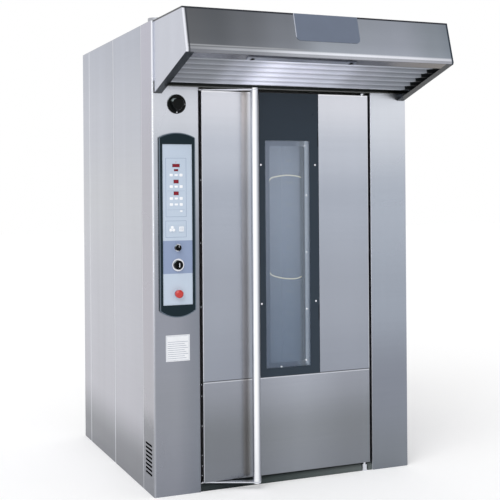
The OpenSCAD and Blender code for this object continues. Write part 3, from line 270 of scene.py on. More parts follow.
# %% [markdown]
# ## The line along a fold, as a shader group
# Where a press brake folds a sheet, the rounded fold catches the light, so each fold gets a
# fine painted highlight line, and the step behind it a dark line. The group takes one
# measure of place, such as the distance from the left, the fold's place and half of the
# line's width, and gives a mask. Two masks multiplied pick out a corner.

# %% The fold_line group
fold_group, fold_in, fold_out = new_group(
    "fold_line", "ShaderNodeTree",
    [("Place", FLOAT, 0.0), ("Fold", FLOAT, 0.0), ("Half Width", FLOAT, 0.004)],
    [("Mask", FLOAT)])
away = calculate("ABSOLUTE", calculate("SUBTRACT", fold_in["Place"], fold_in["Fold"]))
plug(fold_out["Mask"], rise(away, fold_in["Half Width"], 0.0))

# %% [markdown]
# ## Fine grain, as a shader group
# Moulded plastic, paint and rubber aren't mirror smooth: they have a grain of about a
# millimetre, and fingers leave soft patches on them. One group gives both, as a change
# of colour, a roughness and a relief.

# %% The moulded_grain group
PATCH_SCALE = 14.0
grain_group, grain_in, grain_out = new_group(
    "moulded_grain", "ShaderNodeTree",
    [("Tone", COLOUR, (0.1, 0.1, 0.1, 1)), ("Grain Scale", FLOAT, 900.0),
     ("Roughness", FLOAT, 0.4), ("Patches", FLOAT, 0.12)], FINISH_OUTPUTS)
fine = noise(object_place(grain_group), grain_in["Grain Scale"])
patches = swing(noise(object_place(grain_group), PATCH_SCALE, 3.0), grain_in["Patches"])
plug(grain_out["Color"], shade(grain_in["Tone"], plus(1.0, patches)))
plug(grain_out["Roughness"], plus(grain_in["Roughness"], patches))
plug(grain_out["Height"], fine)

# %% [markdown]
# ## Making a material
# Each material keeps its own Principled shader and takes colour, roughness and relief
# from a group. Numbers that are the same all over the surface are set on the shader.
# Lines are laid over a finish afterwards, by putting a mixer between it and the shader.

# %% Material helpers
RELIEF_DEPTH = 0.0004


def new_material(name, **principled):
    """A material with its Principled shader's fixed numbers set."""
    material = bpy.data.materials.new(name)
    material.use_nodes = True
    shader = material.node_tree.nodes["Principled BSDF"]
    for socket, value in principled.items():
        shader.inputs[socket.replace("_", " ")].default_value = value
    print("material:", name)
    return material, material.node_tree, shader


def use_group(shader, group, relief, **inputs):
    """Places a finish group in a shader's material and joins it to the shader."""
    tree = shader.id_data
    finish = add_node(tree, "ShaderNodeGroup",
                      {name.replace("_", " "): value for name, value in inputs.items()}, node_tree=group)
    bump = add_node(tree, "ShaderNodeBump",
                    {"Height": finish.outputs["Height"], "Strength": relief, "Distance": RELIEF_DEPTH})
    plug(shader.inputs["Base Color"], finish.outputs["Color"])
    plug(shader.inputs["Roughness"], finish.outputs["Roughness"])
    plug(shader.inputs["Normal"], bump.outputs["Normal"])


def brushed(name, tone, grain=0.10, streaks=0.10, rough=0.28, relief=0.12, axis="Z"):
    """A brushed sheet in one colour, or in a row of tones along an axis."""
    material, tree, shader = new_material(name, Metallic=1.0)
    use_group(shader, sheet_group, relief, Tone=tone_along(tree, axis, tone),
              Grain=grain, Streaks=streaks, Roughness=rough)
    return material


def moulded(name, tone, rough=0.4, grain=900.0, relief=0.10, **principled):
    """A plastic, rubber or painted part with a fine grain, in one colour or in tones along X."""
    material, tree, shader = new_material(name, **principled)
    use_group(shader, grain_group, relief, Tone=tone_along(tree, "X", tone),
              Grain_Scale=grain, Roughness=rough)
    return material


def fold_mask(tree, axis, fold, half_width=0.004):
    """The mask of one line: 1 on it and 0 away from it."""
    places = {"Place": along(tree, axis), "Fold": fold, "Half Width": half_width}
    return add_node(tree, "ShaderNodeGroup", places, node_tree=fold_group).outputs["Mask"]


def lay_over(material, mask, colour):
    """Lays a colour over a material's finish where the mask says so."""
    socket = material.node_tree.nodes["Principled BSDF"].inputs["Base Color"]
    under = socket.links[0].from_socket
    plug(socket, blend_colours(mask, under, colour))


def lay_lines(material, axis, folds, colour, half_width=0.004):
    """Lays a line of one colour over a material at each fold."""
    for fold in folds:
        lay_over(material, fold_mask(material.node_tree, axis, fold, half_width), colour)


# %% [markdown]
# ## The cabinet's steel
# The front sheets face the room and mirror its lights above and its darker floor below,
# so their tone is a painted reflection: a row of steps up the sheet. The side sheets are
# seen edge on, and their painted reflection stays pale almost down to the floor. A column
# is one folded sheet with both a front and a side, so its material picks its tone by the
# way that the surface faces.

# %% Column material
column_low, column_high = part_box("left_column")
right_column_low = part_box("right_column")[0]
FRONT_Y = column_low.y
# Painted reflection: the tones step up the sheet, darker where it mirrors the floor.
FRONT_TONES = [(0.0, (139, 142, 151)), (0.45, (144, 147, 155)), (0.82, (145, 148, 158)),
               (1.21, (156, 161, 171)), (1.65, (180, 186, 195)), (1.90, (206, 209, 217))]
RIGHT_TONES = [(0.0, (126, 131, 138)), (0.47, (131, 136, 147)), (0.91, (154, 161, 173)),
               (1.44, (170, 177, 189)), (1.96, (211, 215, 223))]
SIDE_TONES = [(0.0, (116, 119, 128)), (0.30, (122, 124, 130)), (0.45, (168, 167, 174)),
              (0.95, (170, 168, 177)), (1.46, (172, 171, 180)), (2.16, (177, 176, 189))]
# Painted shade over the lower left of the front.
LOWER_LEFT_SHADE = (112, 118, 128)
# Painted highlights on the corner and the inner edges, and painted shade under the lintel.
CORNER_HIGHLIGHT, COLUMN_EDGE_HIGHLIGHT, LINTEL_SHADE = (234, 236, 242), (206, 209, 216), (36, 38, 34)

column_steel, steel_tree, steel_shader = new_material("column_steel", Metallic=1.0)
height, across = along(steel_tree, "Z"), along(steel_tree, "X")
front_tone = blend_colours(rise(across, -0.1, 0.1),
                           tone_ramp(height, FRONT_TONES), tone_ramp(height, RIGHT_TONES))
lower_left = times(rise(across, -0.62, column_high.x), rise(height, 1.6, 1.1))
lower_left = times(lower_left, rise(across, 0.1, -0.1, 0.0, 0.5))
front_tone = blend_colours(lower_left, front_tone, LOWER_LEFT_SHADE)
sideways = calculate("ABSOLUTE", split(surface_normal(steel_tree))["X"])
column_tone = blend_colours(rise(sideways, 0.5, 0.9), front_tone, tone_ramp(height, SIDE_TONES))
use_group(steel_shader, sheet_group, 0.12, Tone=column_tone, Grain=0.10, Streaks=0.08, Roughness=0.28)

# %% Column's painted corner and edge highlights, and painted shade under the lintel
CORNER_HALF_WIDTH = 0.011
corner = times(fold_mask(steel_tree, "X", column_low.x + 0.002, CORNER_HALF_WIDTH),
               fold_mask(steel_tree, "Y", FRONT_Y + 0.002, CORNER_HALF_WIDTH))
corner = times(corner, rise(height, 0.5, 1.7, 0.25, 1.0))
lay_over(column_steel, corner, CORNER_HIGHLIGHT)
lay_lines(column_steel, "X", (column_high.x, right_column_low.x), COLUMN_EDGE_HIGHLIGHT, 0.003)
lintel_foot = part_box("lintel_panel")[0].z
# Painted shade in a band at the lintel's foot, between the columns.
below_lintel = times(rise(height, lintel_foot + 0.008, lintel_foot + 0.004),
                     rise(height, lintel_foot - 0.004, lintel_foot - 0.001))
between_columns = times(rise(across, column_high.x, column_high.x + 0.002),
                        rise(across, right_column_low.x, right_column_low.x - 0.002))
lay_over(column_steel, times(below_lintel, between_columns), LINTEL_SHADE)

# %% Side, rear and roof steel
# Painted reflection: the side sheets are darker towards the floor. Painted highlights along the seams, and a
# dark line beside two of them.
side_steel = brushed("side_steel", [(0.0, (118, 120, 127)), (0.10, (122, 124, 130)), (0.38, (180, 180, 188)),
                                    (0.90, (183, 184, 192)), (1.45, (190, 192, 198)), (1.90, (184, 187, 197)),
                                    (2.34, (172, 176, 188))], streaks=0.16, rough=0.32)
panel_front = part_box("left_side_panels")[0].y
post_low, post_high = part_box("rear_posts")
MIDDLE_SEAM = 0.0083
lay_lines(side_steel, "Y", (panel_front, MIDDLE_SEAM, post_low.y), (236, 238, 244), 0.008)
lay_lines(side_steel, "Y", (panel_front + 0.008, MIDDLE_SEAM + 0.009), (132, 134, 142))
# Painted reflection: the rear sheet is darker towards the floor.
rear_steel = brushed("rear_steel", [(0.0, (140, 142, 148)), (1.2, (176, 179, 186)), (2.3, (190, 193, 200))],
                     rough=0.38)
roof_steel = brushed("roof_steel", (184, 186, 192), rough=0.40)

# %% [markdown]
# ## The door's steel
# The door's skins hang over the core like shallow trays, and their folded edges get
# painted highlights: a pale line down the free edge and along the top, and a pale and a
# dark line where the kick panel meets the upper skins. The skins are darker towards the
# bottom and the kick panel is lighter in its middle, painted reflections of the floor in
# front of the baker.

# %% Door and kick materials
left_skin_low, left_skin_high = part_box("door_left_panel")
right_skin_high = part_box("door_right_panel")[1]
kick_low, kick_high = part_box("door_kick_panel")
# Painted reflection: the skins are darker towards the bottom. Painted highlights along the free edges and the
# top, and a dark line at the skins' foot.
door_steel = brushed("door_steel", [(0.55, (146, 151, 162)), (0.95, (156, 161, 172)), (1.45, (168, 174, 186)),
                                    (1.70, (186, 191, 202)), (1.98, (213, 215, 223))], rough=0.22)
lay_lines(door_steel, "X", (left_skin_low.x + 0.001, right_skin_high.x - 0.001), (214, 217, 224))
lay_lines(door_steel, "Z", (left_skin_high.z - 0.002,), (244, 245, 249), 0.006)
lay_lines(door_steel, "Z", (left_skin_low.z + 0.002,), (92, 95, 103))

# Painted reflection of the floor: the kick panel is lighter in its middle and darker towards the bottom.
KICK_ACROSS = [(-0.45, (229, 229, 229)), (-0.20, (234, 234, 234)), (0.08, (255, 255, 255)),
               (0.38, (232, 232, 232))]
KICK_UP = [(0.05, (140, 144, 151)), (0.26, (138, 142, 148)), (0.54, (162, 166, 176))]
kick_steel, kick_tree, kick_shader = new_material("kick_steel", Metallic=1.0)
kick_tone = blend_colours(1.0, tone_along(kick_tree, "X", KICK_ACROSS),
                          tone_along(kick_tree, "Z", KICK_UP), "MULTIPLY")
use_group(kick_shader, sheet_group, 0.12, Tone=kick_tone, Grain=0.14, Streaks=0.08, Roughness=0.24)
# Painted highlights along the kick panel's top and left edges.
lay_lines(kick_steel, "Z", (kick_high.z - 0.002,), (206, 209, 217))
lay_lines(kick_steel, "X", (kick_low.x + 0.001,), (196, 199, 206))

# %% Other steels
liner_steel = brushed("liner_steel", (150, 150, 152), rough=0.42)
# The bead is darker at its left and has a painted highlight along its right side.
bead_steel = brushed("bead_steel", [(-0.11, (96, 104, 120)), (0.04, (92, 100, 116)), (0.108, (150, 158, 168)),
                                    (0.118, (196, 204, 212)), (0.137, (150, 158, 168))],
                     grain=0.04, streaks=0.0, rough=0.30, relief=0.08, axis="X")
duct_steel = brushed("duct_steel", (170, 172, 178), rough=0.36)
rod_steel = brushed("rod_steel", (84, 86, 90), rough=0.45)
deck_zinc = brushed("deck_zinc", (150, 152, 155), rough=0.5)
shaft_steel = brushed("shaft_steel", (160, 160, 163), rough=0.25)
copper = brushed("copper", (184, 120, 88), rough=0.3)
chrome = brushed("chrome", (220, 222, 229), grain=0.03, streaks=0.0, rough=0.12)
arm_steel = brushed("arm_steel", (210, 212, 220), grain=0.04, streaks=0.0)
bright_screw = brushed("bright_screw", (252, 253, 255), grain=0.0, streaks=0.0, rough=0.2)

# %% [markdown]
# ## The handle's steel
# A round bar squeezes the whole room into its width, so its tone goes from grey at both
# edges to nearly white where it faces the bright side of the room. The tone follows the
# angle between the surface and that side. The bar's back, towards the door, glows a
# little in a warm tone, because the door's skin throws light back at it.

# %% Handle material
BRIGHT_SIDE = (-0.5255, -0.8508, 0.0)
BACK_GLOW = 0.28
handle_steel, bar_tree, bar_shader = new_material("handle_steel", Metallic=1.0)
# Painted reflection across the bar, and a painted glow of bounce light on its back.
bar_tone = blend_colours(rise(towards(bar_tree, BRIGHT_SIDE), 0.55, 1.0), (160, 164, 173), (247, 248, 251))
to_door = rise(split(surface_normal(bar_tree))["Y"], 0.1, 0.7)
bar_tone = blend_colours(to_door, bar_tone, (236, 226, 214))
plug(bar_shader.inputs["Emission Color"], bar_tone)
plug(bar_shader.inputs["Emission Strength"], times(to_door, BACK_GLOW))
use_group(bar_shader, sheet_group, 0.03, Tone=bar_tone, Grain=0.02, Streaks=0.0, Roughness=0.30)

# %% [markdown]
# ## The hood's steel
# The hood's sheets face several ways, and each way mirrors another part of the room, so
# its tones are painted reflections, highlights and shade: the cheeks are pale, the front
# is dark at its left and lighter to the right, the rolled lip has a painted highlight, the
# underside is brown in painted shade and the turned-in flanges are painted nearly black in
# shade. The tone is built from a row of masks and tones, each laid over the ones before it.

# %% Hood tones and places
# Painted reflections along the front, the lip and the underside, with the front a little darker towards the
# top.
HOOD_FRONT = [(-0.71, (104, 106, 110)), (-0.55, (99, 102, 107)), (-0.40, (113, 116, 122)),
              (-0.20, (130, 134, 142)), (0.0, (156, 162, 171)), (0.42, (158, 163, 174)),
              (0.62, (142, 149, 158)), (0.71, (134, 142, 152))]
HOOD_UP = [(2.15, (255, 255, 255)), (2.22, (241, 241, 241)), (2.33, (230, 230, 230))]
HOOD_LIP_HIGHLIGHT = [(-0.71, (146, 148, 153)), (-0.42, (168, 171, 177)), (-0.10, (222, 225, 233)),
            (0.12, (232, 235, 243)), (0.40, (226, 228, 236)), (0.71, (202, 204, 212))]
HOOD_UNDER_SHADE = [(-0.70, (150, 150, 154)), (-0.30, (130, 130, 136)), (0.25, (104, 104, 110)),
              (0.70, (112, 106, 102))]
# Painted shade under the lip's curl, along the edges, inside the cheek, on the flanges and on the rail;
# painted highlights on the folds and the rail's line.
CURL_SHADE, UPPER_FOLD_HIGHLIGHT = (96, 98, 106), (158, 160, 164)
LEFT_FOLD_HIGHLIGHT, LEFT_FOLD_SHADE, RIGHT_EDGE_SHADE, TOP_EDGE_SHADE = (232, 234, 242), (62, 66, 72), (50, 58, 68), (52, 54, 60)
CHEEK, CHEEK_INSIDE_SHADE, HOOD_TOP = (192, 195, 206), (78, 83, 91), (184, 186, 192)
FLANGE_SHADE_LEFT, FLANGE_SHADE_RIGHT = (48, 53, 58), (20, 24, 28)
RAIL_SHADE, RAIL_LINE_HIGHLIGHT = (54, 56, 54), (128, 129, 128)
LIP_TOP, LIP_BOTTOM = 2.152, 2.136
FLANGE_WIDTH = 0.040
RAIL_TOP, RAIL_LINE_HEIGHT = 2.042, 2.020
RAIL_FRONT = FRONT_Y - 0.014

hood_steel, hood_tree, hood_shader = new_material("hood_steel", Metallic=1.0)
hood_low, hood_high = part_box("hood_shell")
hood_normal = split(surface_normal(hood_tree))
hood_place = split(object_place(hood_tree))
across, height = hood_place["X"], hood_place["Z"]

# %% Hood's painted reflections, highlights and shade, laid one over the other
cheek = rise(calculate("ABSOLUTE", hood_normal["X"]), 0.6, 0.9)
upward, downward = rise(hood_normal["Z"], 0.6, 0.9), rise(hood_normal["Z"], -0.62, -0.86)
lip_tone = blend_colours(rise(height, LIP_BOTTOM + 0.007, LIP_BOTTOM + 0.002, 0.0, 0.55),
                         tone_ramp(across, HOOD_LIP_HIGHLIGHT), CURL_SHADE)
upper_fold = times(fold_mask(hood_tree, "Z", LIP_TOP + 0.008, 0.006), rise(across, 0.0, -0.25))
inside_right = times(rise(across, 0.3, 0.5), rise(hood_normal["X"], -0.5, -0.8))
flange_start = hood_high.x - FLANGE_WIDTH
flange_shade = blend_colours(rise(across, -0.1, 0.1), FLANGE_SHADE_LEFT, FLANGE_SHADE_RIGHT)
on_flange = rise(calculate("ABSOLUTE", across), flange_start - 0.002, flange_start + 0.001)
on_rail = times(rise(height, RAIL_TOP + 0.002, RAIL_TOP),
                rise(hood_place["Y"], RAIL_FRONT, RAIL_FRONT + 0.001))
top_edge = times(rise(height, hood_high.z - 0.010, hood_high.z - 0.007), rise(hood_normal["Z"], 0.9, 0.6))

hood_tone = blend_colours(1.0, tone_ramp(across, HOOD_FRONT), tone_ramp(height, HOOD_UP), "MULTIPLY")
# Each layer is a painted reflection, highlight or shade.
for mask, colour in (
        (rise(height, LIP_TOP + 0.006, LIP_TOP - 0.004), lip_tone),
        (upper_fold, UPPER_FOLD_HIGHLIGHT),
        (fold_mask(hood_tree, "X", hood_low.x + 0.018, 0.006), LEFT_FOLD_SHADE),
        (rise(across, hood_low.x + 0.016, hood_low.x + 0.007), LEFT_FOLD_HIGHLIGHT),
        (rise(across, hood_high.x - 0.012, hood_high.x - 0.008), RIGHT_EDGE_SHADE),
        (cheek, blend_colours(inside_right, CHEEK, CHEEK_INSIDE_SHADE)),
        (downward, blend_colours(on_flange, tone_ramp(across, HOOD_UNDER_SHADE), flange_shade)),
        (on_rail, RAIL_SHADE),
        (times(on_rail, fold_mask(hood_tree, "Z", RAIL_LINE_HEIGHT, 0.005)), RAIL_LINE_HIGHLIGHT),
        (top_edge, TOP_EDGE_SHADE),
        (upward, HOOD_TOP)):
    hood_tone = blend_colours(mask, hood_tone, colour)
use_group(hood_shader, sheet_group, 0.10, Tone=hood_tone, Grain=0.07, Streaks=0.10, Roughness=0.26)

# %% [markdown]
# ## The filter slats' steel
# The slats' tones paint their reflection of the bright doorway in their middle and of the
# dark corners at their ends. They stand in the shade of the hood, between sheets that throw
# light to each other many times over. A little glow of their own tone stands in for that
# light. Past SLAT_SHADOW, at the right, they are painted dark, as the shade behind the flange.

# %% Slat material
SLAT_GLOW = 0.35
SLAT_SHADOW = 0.632
SLAT_TONES = [(-0.70, (134, 137, 144)), (-0.50, (142, 145, 152)), (-0.37, (172, 175, 185)),
              (-0.20, (226, 228, 240)), (-0.04, (206, 208, 220)), (0.15, (190, 193, 204)),
              (0.32, (158, 161, 170)), (0.50, (142, 146, 154)), (0.70, (126, 131, 138))]
slat_steel, slat_tree, slat_shader = new_material("slat_steel", Metallic=0.4, Emission_Strength=SLAT_GLOW)
in_shadow = rise(along(slat_tree, "X"), SLAT_SHADOW, SLAT_SHADOW + 0.004)
# Painted shade past SLAT_SHADOW; the glow set on the shader is painted bounce light.
slat_tone = blend_colours(in_shadow, tone_along(slat_tree, "X", SLAT_TONES), (20, 22, 24))
plug(slat_shader.inputs["Emission Color"], slat_tone)
use_group(slat_shader, sheet_group, 0.08, Tone=slat_tone, Grain=0.06, Streaks=0.06, Roughness=0.32)

# %% [markdown]
# ## Plastics and small metal
# The control frame, knobs and keys are moulded. A white room puts a pale film of light
# on anything smooth, so the darkest parts keep their mirror share low, or their black
# would turn grey. The black knobs have a painted glint where they face GLINT_SIDE.

# %% Small finishes
GLINT_SIDE = (-0.62, -0.42, 0.66)
control_plastic = moulded("control_plastic", (24, 38, 45), rough=0.45, Specular_IOR_Level=0.10)
# A lighter copy of the frame's plastic: a painted highlight on the frame's rounded lip.
rim_highlight_plastic = moulded("rim_highlight_plastic", (84, 98, 112), rough=0.35)
black_plastic = moulded("black_plastic", (8, 11, 12), rough=0.34, Specular_IOR_Level=0.12)
# Painted glint on the black knobs where they face GLINT_SIDE.
glint = rise(towards(black_plastic.node_tree, GLINT_SIDE), 0.78, 0.92)
lay_over(black_plastic, glint, (168, 182, 182))
window_slate = moulded("window_slate", (38, 50, 62), rough=0.30, grain=500.0, relief=0.03,
                       Specular_IOR_Level=0.25)
key_white = moulded("key_white", (244, 246, 250), rough=0.35)
key_pale = moulded("key_pale", (192, 204, 219), rough=0.38)
stop_red = moulded("stop_red", (188, 34, 28), rough=0.25, Coat_Weight=0.4)
label_white = moulded("label_white", (232, 234, 238), relief=0.03)
print_grey = moulded("print_grey", (112, 124, 148), rough=0.5, relief=0.02)
print_blue = moulded("print_blue", (122, 142, 172), rough=0.5, relief=0.02)
badge_slate = moulded("badge_slate", (94, 104, 122), rough=0.30, grain=400.0, relief=0.03)
# Painted highlight along the badge's left edge.
lay_lines(badge_slate, "X", (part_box("hood_badge")[0].x,), (206, 210, 222))
gasket_rubber = moulded("gasket_rubber", (52, 52, 50), rough=0.7, grain=300.0, relief=0.4)
# The sill is dark grey; its tones along X are painted reflection and shade, lighter towards the right.
sill_dark = moulded("sill_dark", [(-0.46, (40, 46, 48)), (-0.24, (24, 31, 34)), (-0.12, (60, 68, 68)),
                                  (0.48, (92, 98, 98))],
                    rough=0.45, grain=500.0, relief=0.05, Specular_IOR_Level=0.15)
# Painted shade: a black plate behind the vent slots.
vent_shadow_black = moulded("vent_shadow_black", (4, 4, 5), rough=0.9, grain=500.0, relief=0.8, Specular_IOR_Level=0.0)
motor_paint = moulded("motor_paint", (60, 92, 116), relief=0.2)
mineral_wool = moulded("mineral_wool", (196, 182, 128), rough=0.95, grain=160.0, relief=0.9)
base_grey = moulded("base_grey", (96, 96, 98), rough=0.8, grain=200.0, relief=0.5)
switch_gear = moulded("switch_gear", (200, 200, 190), rough=0.5)
# Painted reflection: the lamp cover is lighter towards the left.
hood_lamp_cover = moulded("hood_lamp_cover", [(-0.36, (152, 156, 168)), (-0.15, (128, 132, 144)),
                                              (0.15, (104, 110, 124))], rough=0.18, grain=300.0, relief=0.05)
lamp_glass = moulded("lamp_glass", (250, 244, 224), rough=0.2, Emission_Strength=1.2,
                     Emission_Color=(1.0, 0.9, 0.7, 1))
# A glow for the painted reflections of lamps in the window.
arc_reflection_glow = moulded("arc_reflection_glow", (252, 240, 190), rough=0.3, Emission_Strength=0.35,
                    Emission_Color=(1.0, 0.9, 0.6, 1))
display_red = moulded("display_red", (100, 4, 26), rough=0.14, Specular_IOR_Level=0.3)
segment_red = moulded("segment_red", (176, 30, 50), rough=0.3, Specular_IOR_Level=0.2)

# %% [markdown]
# ## The key foil
# The foil is one printed sheet: pale blue, with a darker band behind the two rotary
# switches. The band is a height on the foil, so the height picks the colour.

# %% Foil material
foil_low, foil_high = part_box("control_foil")
BAND_TOP, BAND_END = foil_high.z - 0.4755, foil_high.z - 0.6375
BAND_EDGE = 0.0008
key_foil, foil_tree, foil_shader = new_material("key_foil", Specular_IOR_Level=0.3)
foil_height = along(foil_tree, "Z")
in_band = times(rise(foil_height, BAND_TOP + BAND_EDGE, BAND_TOP),
                rise(foil_height, BAND_END - BAND_EDGE, BAND_END))
foil_tone = blend_colours(in_band, (190, 203, 219), (141, 156, 186))
use_group(foil_shader, grain_group, 0.04, Tone=foil_tone, Grain_Scale=700.0, Roughness=0.38, Patches=0.05)

# %% [markdown]
# ## The window's glass
# The window has two panes with the dark chamber behind them. A pane that bends light
# would also keep the room's light from reaching what lies behind it, so each pane is a
# thin tinted film that lets most of the light straight through. A slow noise in its
# roughness is the haze of baking. The pane's tone is a painted reflection, lighter towards
# the top, and a darker strip at its right is painted shade of the reveal between the panes.

# %% Glass material
door_glass, glass_tree, glass_shader = new_material("door_glass", Alpha=0.30)
glass_place = split(object_place(glass_tree))
# Painted reflection: the panes are lighter towards the top.
glass_tone = blend_colours(rise(glass_place["Z"], 0.6, 1.65), (136, 154, 178), (184, 198, 218))
# Painted shade of the reveal: a darker strip at the right.
reveal = times(rise(glass_place["X"], 0.074, 0.084), rise(glass_place["X"], 0.112, 0.106))
glass_tone = blend_colours(times(reveal, 0.6), glass_tone, (112, 120, 126))
haze = noise(object_place(glass_tree, (3, 3, 1)), 2.0, 3.0)
plug(glass_shader.inputs["Base Color"], glass_tone)
plug(glass_shader.inputs["Roughness"], rise(haze, 0.2, 0.8, 0.05, 0.16))

# %% [markdown]
# ## Dressing the frame's own nodes
# A node's mesh is right as it is and only takes a material, so a table says which
# finish each node has.

# %% Give every node its material
FINISHES = {
    column_steel: "left_column right_column lintel_panel",
    side_steel: "left_side_panels right_side_panels rear_posts",
    rear_steel: "rear_panel",
    roof_steel: "roof_panel",
    door_steel: "door_left_panel door_right_panel",
    kick_steel: "door_kick_panel",
    hood_steel: "hood_shell",
    slat_steel: "hood_filter",
    bead_steel: "window_bead",
    liner_steel: "chamber_floor chamber_side_walls chamber_rear_wall chamber_ceiling door_frame door_core "
                 "steam_cascade",
    duct_steel: "exhaust_duct hood_collar",
    rod_steel: "heating_rods",
    deck_zinc: "motor_deck",
    shaft_steel: "latch_strikers latch_shaft damper_flap rack_shaft rack_hook fan_wheel",
    chrome: "hinge_pins switch_bezels window_screws",
    handle_steel: "handle_tube",
    arm_steel: "handle_arms",
    control_plastic: "control_frame",
    key_foil: "control_foil",
    display_red: "display_windows",
    black_plastic: "damper_knob timer_knob key_selector cable_gland",
    stop_red: "emergency_button",
    key_pale: "push_key_left push_key_right",
    label_white: "data_plate",
    badge_slate: "hood_badge",
    hood_lamp_cover: "hood_lamp",
    window_slate: "window_frame",
    door_glass: "window_panes",
    gasket_rubber: "door_gasket",
    sill_dark: "door_sill",
    motor_paint: "rack_gearmotor fan_motor",
    mineral_wool: "insulation",
    base_grey: "base_pan",
    switch_gear: "switch_plate",
    copper: "water_pipe",
    lamp_glass: "chamber_lamp",
}
for material, names in FINISHES.items():
    for name in names.split():
        nodes[name].data.materials.clear()
        nodes[name].data.materials.append(material)
dressed = set(" ".join(FINISHES.values()).split())
print("dressed:", len(dressed), "left:", sorted(set(nodes) - dressed))

# %% [markdown]
# ## Helpers for pieces
# The small pieces are built as meshes in the frame's own place and metres. The front of
# the cabinet lies at FRONT_Y, and anything nearer to the camera has a smaller y. A piece
# says which body it moves with and which material it has.

# %% Mesh helpers
MM = 0.001


def add_box(work, low, high, rim=0.0):
    """A block between two corners, its edges rounded by rim."""
    low, high = Vector(low), Vector(high)
    made = bmesh.ops.create_cube(work, size=1.0)["verts"]
    for vertex in made:
        vertex.co = Vector(((low[i] + high[i]) / 2 + vertex.co[i] * (high[i] - low[i]) for i in range(3)))
    if rim:
        edges = list({edge for vertex in made for edge in vertex.link_edges})
        bmesh.ops.bevel(work, geom=edges, offset=rim, segments=2, profile=0.5, affect="EDGES")


def join_rings(work, rings, closed=False):
    """Skins a row of rings, and closes its two ends or joins them to each other."""
    for lower, higher in zip(rings, rings[1:] + (rings[:1] if closed else [])):
        for i in range(len(lower)):
            j = (i + 1) % len(lower)
            work.faces.new((lower[i], lower[j], higher[j], higher[i]))
    if not closed:
        work.faces.new(rings[0][::-1])
        work.faces.new(rings[-1])


def add_lathe(work, centre, profile, sides=48, upright=False):
    """A turned shape from (radius, place along the axis) pairs. Its axis is Y, or Z if upright."""
    rings = []
    for radius, place in profile:
        ring = []
        for step in range(sides):
            angle = 2 * math.pi * step / sides
            first, second = radius * math.cos(angle), radius * math.sin(angle)
            offset = Vector((first, second, place)) if upright else Vector((first, place, second))
            ring.append(work.verts.new(Vector(centre) + offset))
        rings.append(ring)
    join_rings(work, rings)


def add_tube(work, points, radius, sides=8, closed=False):
    """A round bar along a row of points."""
    points = [Vector(point) for point in points]
    count = len(points)
    rings = []
    for i, point in enumerate(points):
        before = points[i - 1] if i or closed else point
        after = points[(i + 1) % count] if i < count - 1 or closed else point
        ahead = (after - before).normalized()
        aside = ahead.orthogonal() if abs(ahead.y) > 0.9 else ahead.cross(Vector((0, 1, 0)))
        aside.normalize()
        other = ahead.cross(aside)
        rings.append([work.verts.new(point + radius * (math.cos(a) * aside + math.sin(a) * other))
                      for a in (2 * math.pi * step / sides for step in range(sides))])
    join_rings(work, rings, closed)


SHARP_ANGLE = math.radians(38)


def finish_piece(name, mesh, material, body, instead_of=()):
    """Puts a mesh in the scene as a piece of the oven."""
    mesh.shade_smooth()
    mesh.set_sharp_from_angle(angle=SHARP_ANGLE)
    piece = bpy.data.objects.new(name, mesh)
    bpy.context.scene.collection.objects.link(piece)
    if material:
        mesh.materials.clear()
        mesh.materials.append(material)
    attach(piece, body)
    if instead_of:
        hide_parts(*instead_of)
    print(name, "faces:", len(mesh.polygons))


def build_piece(name, build, material, body, instead_of=()):
    """Makes a piece from a function that fills a bmesh."""
    work = bmesh.new()
    build(work)
    bmesh.ops.recalc_face_normals(work, faces=work.faces)
    mesh = bpy.data.meshes.new(name)
    work.to_mesh(mesh)
    work.free()
    finish_piece(name, mesh, material, body, instead_of)


def build_boxes(name, boxes, material, body, rim=0.0):
    """Makes a piece of plain blocks, each between two corners."""
    def build(work):
        for low, high in boxes:
            add_box(work, low, high, rim)
    build_piece(name, build, material, body)


def front_middle(name):
    """The middle of a node's front face."""
    low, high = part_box(name)
    return (low.x + high.x) / 2, low.y, (low.z + high.z) / 2


# %% [markdown]
# ## Helpers for Geometry Nodes
# Screws, keys and hems are one small shape in many places. Each is a Geometry Nodes tree
# that takes points and places the shape on them. The tree runs once, its result is kept
# as a plain mesh, and the modifier goes, so a piece is just a mesh when it joins a body.

# %% Geometry Nodes helpers
MATERIAL = "NodeSocketMaterial"


def new_tree(name, inputs):
    """A Geometry Nodes tree with a geometry input and output and its own named inputs."""
    tree, start, end = new_group(name, "GeometryNodeTree",
                                 [("Geometry", "NodeSocketGeometry", None)] + inputs,
                                 [("Geometry", "NodeSocketGeometry")])
    tree.is_modifier = True
    return tree, start, end


def run_tree(name, tree, points, settings, body, vectors=None):
    """Runs a tree on points and keeps the result as one piece. Vectors are (name, values)."""
    source = bpy.data.meshes.new(name + "_points")
    source.from_pydata([tuple(point) for point in points], [], [])
    for label, values in (vectors or {}).items():
        attribute = source.attributes.new(label, "FLOAT_VECTOR", "POINT")
        attribute.data.foreach_set("vector", [number for value in values for number in value])
    holder = bpy.data.objects.new(name + "_holder", source)
    bpy.context.scene.collection.objects.link(holder)
    modifier = holder.modifiers.new("build", "NODES")
    modifier.node_group = tree
    for item in tree.interface.items_tree:
        if item.in_out == "INPUT" and item.name in settings:
            modifier[item.identifier] = settings[item.name]
    evaluated = holder.evaluated_get(bpy.context.evaluated_depsgraph_get())
    mesh = bpy.data.meshes.new_from_object(evaluated)
    mesh.name = name
    bpy.data.objects.remove(holder)
    finish_piece(name, mesh, None, body)


